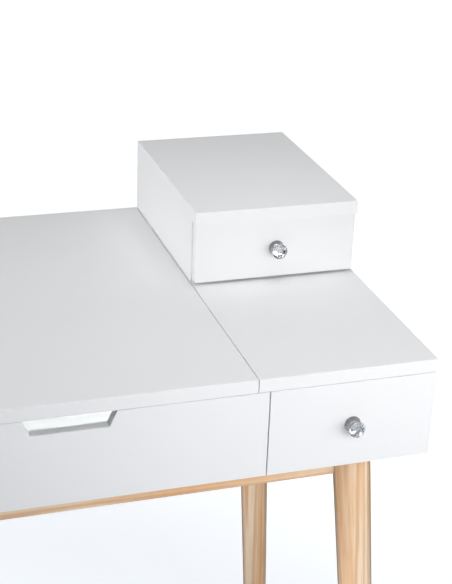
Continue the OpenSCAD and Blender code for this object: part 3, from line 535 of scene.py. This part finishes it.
# %% Plastic materials
GLOW = {"Subsurface Weight": 0.15, "Subsurface Radius": (0.002, 0.002, 0.002)}
runner_plastic = material("runner plastic", shine(0.4), plastic, Colour=(0.74, 0.74, 0.73, 1),
                          Drift=0.05, Roughness=0.42, Pebble=8e-6)
clip_plastic = material("clip plastic", {**shine(0.5), **GLOW}, plastic, Colour=(0.83, 0.84, 0.84, 1),
                        Drift=0.03, Roughness=0.25, Pebble=3e-6)
pad_plastic = material("pad plastic", shine(0.3), plastic, Colour=(0.075, 0.07, 0.068, 1),
                       Drift=0.3, Roughness=0.7, Pebble=4e-5)
print(len(bpy.data.materials), "materials, with the frame's own plain ones")

# %% [markdown]
# ## Cut glass
# Glass has no colour pattern of its own. All its looks come from its facets, so only its index and a
# hair of roughness are set, and the material stays a plain one.

# %% Glass
GLASS_INDEX = 1.52
cut_glass = material("cut glass", {"Base Color": (0.97, 0.98, 0.985, 1), "Roughness": 0.01,
                                   "IOR": GLASS_INDEX, "Transmission Weight": 1.0})
print(cut_glass.name, "bends light with an index of", GLASS_INDEX)


# %% [markdown]
# ## Boards with eased edges
# A panel maker never leaves an edge sharp: it is eased by a fraction of a millimetre, and that thin
# round catches a line of light. The frame's own meshes may not change, so each board is copied, its
# loose triangles are merged, its flat triangles joined into whole faces, and a Bevel modifier rounds
# only the long convex edges. Holes, grooves and hinge pockets stay exact. Weighted normals keep the
# broad faces flat beside the tiny rounds.

# %% Copies of the frame's parts with eased edges
WELD, FLAT = 1e-6, math.radians(0.5)
SHARP, LONG = math.radians(30), 4 * MM


def merged(node):
    """A bmesh of a CAD node's triangles, welded and with its flat triangles joined into whole faces."""
    shape = bmesh.new()
    shape.from_mesh(nodes[node].data)
    bmesh.ops.remove_doubles(shape, verts=shape.verts, dist=WELD)
    bmesh.ops.dissolve_limit(shape, angle_limit=FLAT, verts=shape.verts, edges=shape.edges)
    return shape


def dressed(node, ending, shape, rims, radius, finish):
    """Shows the bmesh in the node's place, with its rims rounded by a Bevel modifier.

    rims says True or False for each edge."""
    mesh = bpy.data.meshes.new(node + ending)
    shape.to_mesh(mesh)
    shape.free()
    mesh.materials.clear()
    mesh.shade_smooth()
    mesh.set_sharp_from_angle(angle=SHARP)
    weights = mesh.attributes.new("bevel_weight_edge", "FLOAT", "EDGE")
    weights.data.foreach_set("value", np.float32(rims))
    piece = stand_in(mesh.name, mesh, node, [finish])
    bevel = piece.modifiers.new("eased edges", "BEVEL")
    bevel.limit_method, bevel.width, bevel.segments = "WEIGHT", radius, 3
    bevel.use_clamp_overlap, bevel.face_strength_mode = False, "FSTR_ALL"
    even = piece.modifiers.new("flat faces", "WEIGHTED_NORMAL")
    even.weight, even.keep_sharp, even.use_face_influence = 100, True, True
    return piece


def eased(node, radius, finish):
    """A copy of a CAD node whose long convex edges are rounded.

    A hole's rim is made of short edges and stays."""
    shape = merged(node)
    rims = [e.calc_face_angle_signed(0) > SHARP and e.calc_length() > LONG for e in shape.edges]
    return dressed(node, "_eased", shape, rims, radius, finish)


print("edges sharper than", round(math.degrees(SHARP)), "degrees and longer than", LONG, "m are rounded")

# %% [markdown]
# ## Which parts are eased
# A board's edge is barely broken, a rail's is rounded more, as solid wood is, and sheet metal keeps a
# very small one. Each part is found by the material slot that its record gives it.

# %% Eased parts
BOARD_EDGE, RAIL_EDGE, PLASTIC_EDGE, HINGE_EDGE = 0.5 * MM, 1.2 * MM, 0.4 * MM, 0.25 * MM
edge_and_finish = {"white_board": (BOARD_EDGE, satin_white),
                   "drawer_board": (BOARD_EDGE, drawer_white),
                   "rail_wood": (RAIL_EDGE, pale_wood),
                   "runner_plastic": (PLASTIC_EDGE, runner_plastic),
                   "clip_plastic": (PLASTIC_EDGE, clip_plastic)}
pieces = {name: eased(name, *edge_and_finish[slot])
          for name, slot in slot_of.items() if slot in edge_and_finish}
for name in ("hinge_fixed_leaves", "hinge_moving_leaves"):
    pieces[name] = eased(name, HINGE_EDGE, chrome)
print(len(pieces), "parts have eased edges")


# %% [markdown]
# ## The direction of the grain
# Wood must be cut along its grain, so a leg's streaks follow its tilted axis and a rail's run along its
# length. Each wooden piece carries an attribute with its own grain coordinates: Z along the fibre, X
# and Y across it, and a shift of its own so that no two pieces are cut from the same spot of the board.

# %% Grain coordinates
GRAIN_SHIFT = np.array([0.31, 0.17, 0.53])
RAILS = (("front_rail", 0), ("rear_rail", 0), ("left_rail", 1), ("right_rail", 1))
BLOCK_NUMBER = 5


def set_grain(piece, coordinates, number):
    """Stores grain coordinates (n x 3), shifted by the piece's number so that pieces differ."""
    shifted = coordinates + GRAIN_SHIFT * number
    grain = piece.data.attributes.new("grain", "FLOAT_VECTOR", "POINT")
    grain.data.foreach_set("vector", shifted.astype(np.float32).ravel())


def corners_of(piece):
    """All vertices of a piece, one row each."""
    flat = np.empty(len(piece.data.vertices) * 3, np.float32)
    piece.data.vertices.foreach_get("co", flat)
    return flat.reshape(-1, 3)


for number, (name, along) in enumerate(RAILS):
    points = corners_of(pieces[name])
    set_grain(pieces[name], points[:, [1 - along, 2, along]], number)

# A corner block runs across its corner at 45 degrees, and the four mirror each other about the middle.
points = corners_of(pieces["corner_blocks"])
x, y = np.abs(points[:, 0]), np.abs(points[:, 1])
grain_way = np.stack([(x + y) / 2 ** 0.5, points[:, 2], (x - y) / 2 ** 0.5], 1)
set_grain(pieces["corner_blocks"], grain_way, BLOCK_NUMBER)
print("the grain follows", len(RAILS), "rails and the corner blocks")

# %% [markdown]
# ## Splayed legs
# A leg is turned as a plain cone and then cut level at both ends, so that it stands flat under the
# cabinet and on its pad while it leans out. Each row of the grid is a level cut through the tilted
# cone, which is an ellipse whose radius has a simple formula. The foot's rim is rounded, as a turner
# would leave it.

# %% The legs' sizes
leg_low, leg_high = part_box("leg_front_right")
top_low, top_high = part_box("fixed_top")
leg_foot_z, leg_top = leg_low[2], leg_high[2]
LEG_R_TOP, LEG_R_FOOT, FOOT_EDGE = 22 * MM, 15 * MM, 2 * MM
LEG_INSET_X, LEG_INSET_Y = 59.5 * MM, 79 * MM
leg_x = top_high[0] - LEG_INSET_X
leg_y = {-1: top_low[1] + LEG_INSET_Y, 1: top_high[1] - LEG_INSET_Y}
SPLAY_X, SPLAY_Y = math.radians(4.2), math.radians(4.0)
LEG_COLUMNS, LEG_ROWS, FOOT_ROWS = 64, 24, 5
FIRST_LEG_NUMBER = 22
print("leg axes meet the cabinet", round(leg_x / MM, 1), "mm to each side of the middle")


# %% [markdown]
# ## A leg from level cuts
# A ring of level directions leaves the leaning axis at every row. Its radius follows from the cone's own
# radius, its taper and how far each direction leans along the axis, so no solid has to be cut.

# %% Legs as level cuts through a tilted cone
def leg(node, side, end, number):
    """Level rows round the leaning axis; side and end are the signs of X and Y that the leg leans to.

    A level direction h leaves the axis d at
    radius = cone radius / (sqrt(1 - (h.d)^2) + taper * h.d),
    because a step along h also moves h.d along the axis, where the cone has grown thinner."""
    lean = np.array([side * math.tan(SPLAY_X), end * math.tan(SPLAY_Y) / math.cos(SPLAY_X), -1.0])
    stretch = np.linalg.norm(lean)
    axis = lean / stretch
    taper = (LEG_R_TOP - LEG_R_FOOT) / ((leg_top - leg_foot_z) * stretch)
    round_off = np.linspace(np.pi / 2, 0, FOOT_ROWS)
    tilt = np.concatenate([round_off, np.zeros(LEG_ROWS - 1)])
    height = np.concatenate([leg_foot_z + FOOT_EDGE * (1 - np.sin(round_off)),
                             np.linspace(leg_foot_z + FOOT_EDGE, leg_top, LEG_ROWS)[1:]])
    drop = leg_top - height
    angles = around(LEG_COLUMNS)
    level = np.stack([np.cos(angles), np.sin(angles), np.zeros(LEG_COLUMNS)], 1)
    lean_part = level @ axis
    cone = (LEG_R_TOP - taper * stretch * drop)[:, None]
    rounded_off = (FOOT_EDGE * (1 - np.cos(tilt)))[:, None]
    radius = cone / (np.sqrt(1 - lean_part ** 2) + taper * lean_part) - rounded_off
    top = np.array([side * leg_x, leg_y[end], leg_top])
    centre = top + lean * drop[:, None]
    grid = centre[:, None] + radius[..., None] * level
    across = level - lean_part[:, None] * axis
    side_way = across / np.linalg.norm(across, axis=1, keepdims=True) + taper * axis
    down = np.array([0, 0, -1.0])
    normals = side_way * np.cos(tilt)[:, None, None] + down * np.sin(tilt)[:, None, None]
    points, directions, faces = join_grids([(grid, normals)])
    name = node + "_turned"
    piece = stand_in(name, surface(name, points, faces, directions), node, [pale_wood])
    from_top = points - top
    along = from_top @ axis
    off_axis = from_top - along[:, None] * axis
    set_grain(piece, np.stack([off_axis[:, 0], off_axis[:, 1], along], 1), number)


for number, (end_name, end) in enumerate((("front", -1), ("rear", 1))):
    for side_name, side in (("left", -1), ("right", 1)):
        leg(f"leg_{end_name}_{side_name}", side, end, FIRST_LEG_NUMBER + 2 * number + (side > 0))
print("legs are", round((leg_top - leg_foot_z) / MM), "mm high, with", LEG_COLUMNS, "columns")

# %% [markdown]
# ## Knobs
# A knob is a plated casting that holds a piece of cut glass. The casting is turned: a flat rose with a
# stepped rim, a waisted neck, and a cup. It is drawn standing on Z, in millimetres from the drawer's
# front, and then turned to face the sitter.

# %% Turned knob bases
KNOB_LENGTH, SEAT, RIM = 18.5, 8.3, 9.5
KNOB_COLUMNS = 64
base_corners = [(0, 0), (9, 0), (9, 0.75), (8.3, 1.4), (7.2, 1.4), (6.6, 1.9), (5.4, 2.4), (4.2, 3.8),
                (4.5, 5.7), (7.2, 7.9), (7.2, RIM), (6.4, RIM), (5.4, SEAT), (0, SEAT)]
base_radii = [0, 0.2, 0.25, 0.25, 0.3, 0.4, 0.9, 1.2, 1.6, 0.8, 0.2, 0.2, 0.1, 0]


def to_front(vectors):
    """Turns directions that stand on Z so that they point to the front, -Y."""
    return np.stack([vectors[:, 0], -vectors[:, 2], vectors[:, 1]], 1)


def knob_base(node, at):
    """The profile, its corners rounded, carried round the knob's axis and turned to the front."""
    profile, directions = rounded(base_corners, base_radii, 5, closed=False)
    grid = turned(profile[1:-1], directions[1:-1], around(KNOB_COLUMNS))
    points, normals, faces = join_grids([grid])
    name = node + "_turned"
    mesh = surface(name, to_front(points) * MM + at, faces, to_front(normals))
    stand_in(name, mesh, node, [chrome])


print("a knob stands out by", KNOB_LENGTH, "mm")

# %% [markdown]
# ## Brilliant cut
# The glass has the classic brilliant cut, with a table, eight kites, a thin girdle, and a pavilion that
# narrows into the cup. A foil behind the pavilion throws the light back, as in costume jewellery, and
# its flat end has a brighter star, which is what shows through the table as a white cross.

# %% Rings of corners
CRYSTAL_R, TABLE_R, MIDDLE_R, SEAT_R = 9.0, 5.4, 7.74, 5.0
STAR_R = np.array([4.4, 1.9] * 4)
GLASS_END = SEAT + 0.02
GIRDLE_TOP, GIRDLE_LOW = KNOB_LENGTH - 4.2, KNOB_LENGTH - 5.6
EIGHTH = math.pi / 4


def ring_of(count, radius, height, shift=0.0):
    """Points of a regular ring on a level: angle = 2 pi k / count + shift."""
    angles = np.arange(count) * 2 * np.pi / count + shift
    return np.stack([radius * np.cos(angles), radius * np.sin(angles), np.full(count, height)], 1)


def numbering(first, count):
    """Gives the number of a ring's corner k, which may run past the last corner and round again."""
    return lambda k: first + k % count


print("the girdle is", round(GIRDLE_TOP - GIRDLE_LOW, 3), "mm thick")


# %% [markdown]
# ## Facets
# Each facet names its corners on one, two or three rings, and a loop of eight steps makes the pavilion
# and the crown. The facets stay flat and sharp, apart from a tenth of a millimetre of wear on every
# edge.

# %% Brilliant-cut glass
GLASS, FOIL, SILVER = 0, 1, 2
WORN = 0.1 * MM


def crystal(node, at):
    """A brilliant: rings of seat, girdle, middle, table and star corners, joined by flat facets.

    The middle corners are put where a kite from a table corner to a girdle corner is flat, half a
    facet aside: middle height = knob length + (middle radius * cos(half a facet) - table radius)
    * slope of the crown."""
    slope = (GIRDLE_TOP - KNOB_LENGTH) / (CRYSTAL_R - TABLE_R)
    middle_z = KNOB_LENGTH + (MIDDLE_R * math.cos(EIGHTH / 2) - TABLE_R) * slope
    rings = [ring_of(8, SEAT_R, GLASS_END, EIGHTH / 2),
             ring_of(16, CRYSTAL_R, GIRDLE_LOW),
             ring_of(16, CRYSTAL_R, GIRDLE_TOP),
             ring_of(8, MIDDLE_R, middle_z),
             ring_of(8, TABLE_R, KNOB_LENGTH, EIGHTH / 2),
             ring_of(8, STAR_R, GLASS_END)]
    counts = [len(ring) for ring in rings]
    seat, low, high, middle, table, star = (numbering(sum(counts[:n]), count)
                                            for n, count in enumerate(counts))
    pavilion, crown = [[star(-k) for k in range(8)]], [[table(k) for k in range(8)]]
    for k in range(8):
        pavilion += [[star(k), star(k + 1), seat(k)],
                     [star(k + 1), seat(k + 1), seat(k)],
                     [seat(k), seat(k + 1), low(2 * k + 2)],
                     [seat(k), low(2 * k + 1), low(2 * k)],
                     [seat(k), low(2 * k + 2), low(2 * k + 1)]]
        crown += [[middle(k), table(k), table(k - 1)],
                  [middle(k), high(2 * k + 1), middle(k + 1), table(k)],
                  [high(2 * k), high(2 * k + 1), middle(k)],
                  [high(2 * k - 1), high(2 * k), middle(k)]]
    girdle = [[low(k), low(k + 1), high(k + 1), high(k)] for k in range(16)]
    faces = pavilion + girdle + crown
    picks = [SILVER] + [FOIL] * (len(pavilion) - 1) + [GLASS] * (len(girdle) + len(crown))
    mesh = surface(node + "_cut", to_front(np.vstack(rings)) * MM + at, faces)
    piece = stand_in(mesh.name, mesh, node, [cut_glass, foil, silvering], picks)
    worn = piece.modifiers.new("worn edges", "BEVEL")
    worn.width, worn.segments, worn.limit_method = WORN, 1, "NONE"
    return len(faces)


for drawer in ("main", "box"):
    low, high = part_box(drawer + "_drawer_front")
    at = np.array([(low[0] + high[0]) / 2, low[1], (low[2] + high[2]) / 2])
    knob_base(drawer + "_knob_base", at)
    print(drawer, "knob has", crystal(drawer + "_knob_crystal", at), "facets")

# %% [markdown]
# ## Mirror
# A furniture mirror is a sheet of glass silvered on its back, with its rim ground to a narrow slope.
# One plate does for both: the broad faces are bright metal, and the ground rim is dull green glass.

# %% Mirror plate
MIRROR_CORNER, MIRROR_SLOPE = 2 * MM, 0.8 * MM
low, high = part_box("lid_mirror")
mirror_corners = [(low[0], low[1]), (high[0], low[1]), (high[0], high[1]), (low[0], high[1])]
outline, out = rounded(mirror_corners, MIRROR_CORNER)
points, _, faces = join_grids([plate(outline, out, low[2], high[2], MIRROR_SLOPE, 1)])
ground_rim = [0 if len(face) > 4 else 1 for face in faces]
mesh = surface("lid_mirror_ground", points, faces)
stand_in(mesh.name, mesh, "lid_mirror", [silvering, mirror_edge], ground_rim)
print("mirror of", round((high[0] - low[0]) / MM), "x", round((high[1] - low[1]) / MM), "mm")


# %% [markdown]
# ## Outlines for tools
# Fittings are sold with a recess for the tool: a cross in screws and cams, and a hexagon in the leg
# bolts. Each recess starts as a small outline, given here by its radius.

# %% Cross and hexagon
QUARTER_TURN = np.array([[0, -1], [1, 0]])


def cross(radius):
    """A plus outline: a quarter of it turned three times, with arms a third as wide as the whole."""
    arm = radius / 3
    quarters = [np.array([[radius, -arm], [radius, arm], [arm, arm]])]
    for _ in range(3):
        quarters.append(quarters[-1] @ QUARTER_TURN.T)
    return np.vstack(quarters)


def hexagon(radius):
    """Six equal sides with their corners on the radius."""
    return ring_of(6, radius, 0)[:, :2]


print("a cross has", len(cross(1)), "corners and a hexagon", len(hexagon(1)))

# %% [markdown]
# ## Finding the heads
# A node of fittings holds several of them in one mesh. Walking from face to face over the edges tells
# them apart, and the head is each one's largest flat face.

# %% Islands and heads
LOOKS_DOWN = 0.01


def islands(shape):
    """Groups of faces that hang together, each found by walking from face to face over the edges."""
    left = dict.fromkeys(shape.faces)
    while left:
        group = [left.popitem()[0]]
        for face in group:
            for other in (link for edge in face.edges for link in edge.link_faces):
                if other in left:
                    del left[other]
                    group.append(other)
        yield group


def size_as_head(face):
    """A face's area, a little more where it looks down, which settles a cam's two equal ends."""
    return face.calc_area() * (1 - LOOKS_DOWN * face.normal.z)


bolts = merged("leg_bolts")
print("leg_bolts holds", len(list(islands(bolts))), "fittings")
bolts.free()

# %% [markdown]
# ## Screws, bolts and cams
# Each CAD fitting is copied and a recess is sunk into its head: the head becomes a ring round the
# outline, with walls that narrow down to a floor. The head's rim is rounded a little as well. The ring
# comes from bridging two loops of edges, and this has a known fault: in half of the heads Blender pairs
# the loops crosswise, so that the ring folds over itself and hides the recess.

# %% Recesses for screwdrivers and keys
HEAD_SHARE, FLOOR_SHARE = 0.58, 0.6
SCREW_DEPTH, CAM_DEPTH = 0.45, 0.25
HEAD_EDGE = 0.12 * MM


def sink(shape, face, outline, depth, narrowing):
    """Replaces a round face by a ring round an outline, walls that narrow inwards, and a floor."""
    normal, centre = face.normal.copy(), face.calc_center_median()
    u = normal.orthogonal().normalized()
    v = normal.cross(u)
    lip, floor = ([shape.verts.new(centre - normal * down + (u * a + v * b) * scale) for a, b in outline]
                  for down, scale in ((0, 1), (depth, narrowing)))
    count = len(outline)
    rim = list(face.edges)
    bmesh.ops.delete(shape, geom=[face], context="FACES_ONLY")
    lip_edges = [shape.edges.new((lip[k], lip[(k + 1) % count])) for k in range(count)]
    bmesh.ops.bridge_loops(shape, edges=rim + lip_edges)
    for k in range(count):
        n = (k + 1) % count
        shape.faces.new((lip[k], lip[n], floor[n], floor[k]))
    shape.faces.new(floor)
    return rim


def with_recess(node, outline_of, depth):
    """A copy of a node of fittings with a recess in each head; depth is a share of its radius."""
    shape = merged(node)
    heads = [max(group, key=size_as_head) for group in islands(shape)]
    rims = set()
    for head in heads:
        radius = (head.verts[0].co - head.calc_center_median()).length
        rims.update(sink(shape, head, outline_of(HEAD_SHARE * radius), depth * radius, FLOOR_SHARE))
    bmesh.ops.recalc_face_normals(shape, faces=shape.faces)
    dressed(node, "_recessed", shape, [e in rims for e in shape.edges], HEAD_EDGE, zinc)
    return len(heads)


for node, slot in slot_of.items():
    if slot == "zinc_steel" and node != "cam_bolts":
        outline_of = hexagon if node == "leg_bolts" else cross
        depth = CAM_DEPTH if node == "cams" else SCREW_DEPTH
        print(node, "has", with_recess(node, outline_of, depth), "recesses")

# %% [markdown]
# ## Finishes on the frame's own parts
# Parts whose shape is already right keep it, and only swap their plain material for a finished one.

# %% Materials on the CAD parts
finish_of = {"white_board": satin_white, "drawer_board": drawer_white, "sheet": bottom_sheet,
             "leg_wood": pale_wood, "rail_wood": pale_wood, "dowel_wood": dowel_wood,
             "pad_plastic": pad_plastic, "runner_plastic": runner_plastic,
             "clip_plastic": clip_plastic, "mirror": silvering, "cut_glass": cut_glass,
             "chrome": chrome, "zinc_steel": zinc, "brass": brass}
for name, part in nodes.items():
    for place in part.material_slots:
        place.material = finish_of[slot_of[name]]
print("finished", len(nodes), "parts")

# %% [markdown]
# ## Sky
# The sky lights weakly but shows white. In reflections its front side, behind the camera, is
# grey, so that an open mirror reads as a mirror. The Light Path node tells the rays that only show the
# sky from those that light the table.

# %% World
SKY_LIGHT, SKY_SHOWN, BEHIND_CAMERA = (0.2, 0.202, 0.206, 1), (1, 1, 1, 1), (0.5, 0.51, 0.53, 1)
TO_FRONT = (0, -1, 0)
GREY_FROM, GREY_FULL = 0.25, 0.8


def seen_directly(tree):
    """1 for rays from the camera, in a reflection or through glass, and 0 for those that light."""
    path = add(tree, "LightPath")
    return calc(tree, "MAXIMUM", path.outputs["Is Camera Ray"],
                calc(tree, "MAXIMUM", path.outputs["Is Glossy Ray"], path.outputs["Is Transmission Ray"]))


world = bpy.data.worlds.new("studio")
bpy.context.scene.world = world
world.use_nodes = True
sky = world.node_tree
forward = vector_calc(sky, "DOT_PRODUCT", add(sky, "TexCoord").outputs["Generated"], TO_FRONT)
behind = smooth_range(sky, forward, GREY_FROM, GREY_FULL, 0.0, 1.0)
not_camera = calc(sky, "SUBTRACT", 1.0, add(sky, "LightPath").outputs["Is Camera Ray"])
shown = mix(sky, calc(sky, "MULTIPLY", behind, not_camera), SKY_SHOWN, BEHIND_CAMERA)
sky_colour = mix(sky, seen_directly(sky), SKY_LIGHT, shown)
sky.links.new(sky_colour, sky.nodes["Background"].inputs["Color"])
print("the sky lights with", SKY_LIGHT[:3])

# %% [markdown]
# ## Lamps
# Soft lamps stand round the table. Those at the front, the left and above shape the photographed view,
# and one at the right rear lights the sides that it doesn't show. One small lamp lies on the
# compartment's floor and shines up: only the closed lid's mirror sends its light back down, so the
# finger notch glows white as in the photograph and an open compartment stays plain.

# %% Lamps
IN_THE_COMPARTMENT, ABOVE_IT = (-0.052, -0.112, 0.653), (-0.052, -0.112, 1)


def lamp(name, place, target, size, watts, spread=180):
    """A rectangular lamp at a place, facing a target, that the camera doesn't see.

    spread, in degrees, narrows its beam. A lamp at the front isn't mirrored either, or it would fill
    the open mirror with white."""
    light = bpy.data.lights.new(name, "AREA")
    light.shape, light.size, light.size_y = "RECTANGLE", *size
    light.energy, light.spread = watts, math.radians(spread)
    thing = bpy.data.objects.new(name, light)
    thing.location = place
    thing.rotation_euler = (Vector(target) - Vector(place)).to_track_quat("-Z", "Y").to_euler()
    thing.visible_camera = False
    thing.visible_glossy = "front" not in name
    bpy.context.scene.collection.objects.link(thing)


lamp("right front", (0.8, -0.95, 0.85), (0.2, -0.2, 0.72), (0.9, 0.7), 4.5)
lamp("front", (0.2, -0.9, 1.0), (0.2, 0.0, 0.79), (0.5, 0.4), 3.4)
lamp("left", (-1.3, 0.12, 0.95), (0.1, 0.12, 0.79), (0.6, 0.5), 10.4)
lamp("overhead", (-0.8, -0.2, 2.2), (0, 0, 0.75), (1.2, 1.2), 4.5)
lamp("over the fixed top", (0.2, -0.08, 1.35), (0.2, -0.08, 0.75), (0.25, 0.25), 1.05)
lamp("right rear", (1.5, 1.3, 0.66), (0.2, 0.1, 0.66), (0.7, 0.5), 10)
lamp("low left", (-0.45, -0.6, 0.42), (0.22, -0.05, 0.44), (0.25, 0.15), 0.11, 30)
lamp("in the compartment", IN_THE_COMPARTMENT, ABOVE_IT, (0.22, 0.085), 3.0, 36)
print(len(bpy.data.lights), "lamps")

# %% [markdown]
# ## Floor
# The photograph has a pure white ground. The floor is pale and catches the table's shadow, and a Light
# Path node adds white to it only where the camera looks, more of it far away, where the lamps give
# less. Reflections and views through glass get a little white too.

# %% Floor
FLOOR_REACH = 6
FLOOR_COLOUR, FLOOR_ROUGHNESS = (0.74, 0.79, 0.86, 1), 0.7
SHADOW_MIDDLE, NEAR, FAR = (-0.2, -0.1, 0), 0.7, 1.7
WHITE_NEAR, WHITE_FAR, WHITE_MIRRORED = 0.42, 0.81, 0.3
floor_mesh = bpy.data.meshes.new("floor")
floor_corners = [(x * FLOOR_REACH, y * FLOOR_REACH, 0) for x, y in ((-1, -1), (1, -1), (1, 1), (-1, 1))]
floor_mesh.from_pydata(floor_corners, [], [(0, 1, 2, 3)])
floor = bpy.data.objects.new("floor", floor_mesh)
bpy.context.scene.collection.objects.link(floor)
ground = bpy.data.materials.new("pale floor")
ground.use_nodes = True
paint = ground.node_tree.nodes["Principled BSDF"]
paint.inputs["Base Color"].default_value = FLOOR_COLOUR
paint.inputs["Roughness"].default_value = FLOOR_ROUGHNESS
paint.inputs["Emission Color"].default_value = (1, 1, 1, 1)
tree = ground.node_tree
rays = add(tree, "LightPath").outputs
away = vector_calc(tree, "DISTANCE", add(tree, "TexCoord").outputs["Object"], SHADOW_MIDDLE)
whitening = smooth_range(tree, away, NEAR, FAR, WHITE_NEAR, WHITE_FAR)
to_camera = calc(tree, "MULTIPLY", rays["Is Camera Ray"], whitening)
mirrored = calc(tree, "MAXIMUM", rays["Is Glossy Ray"], rays["Is Transmission Ray"])
emission = calc(tree, "MULTIPLY_ADD", mirrored, WHITE_MIRRORED, to_camera)
tree.links.new(emission, paint.inputs["Emission Strength"])
floor_mesh.materials.append(ground)
print("the floor is", 2 * FLOOR_REACH, "m wide")

# %% [markdown]
# ## Camera
# The camera was fitted to the photograph's straight edges. It stands a little to the left of the table
# and looks down by 24 degrees, with a slight roll. The small shift suits a picture that was cropped
# from a larger one.

# %% Camera
YAW, PITCH, ROLL = (math.radians(a) for a in (19.351, 24.360, 2.596))
CAMERA_PLACE = (-0.3356, -1.4351, 1.4137)
camera_data = bpy.data.cameras.new("camera")
camera_data.sensor_width, camera_data.lens = 36, 87.47
camera_data.shift_x, camera_data.shift_y = -0.034, 0.010
camera_data.clip_end = 50
camera = bpy.data.objects.new("camera", camera_data)
camera.location = CAMERA_PLACE
turn = (Euler((0, 0, -YAW)).to_matrix()
        @ Euler((math.pi / 2 - PITCH, 0, 0)).to_matrix()
        @ Euler((0, 0, ROLL)).to_matrix())
camera.rotation_euler = turn.to_euler()
bpy.context.scene.collection.objects.link(camera)
bpy.context.scene.camera = camera
bpy.context.scene.view_settings.view_transform = "Standard"
print("camera at", tuple(camera.location))
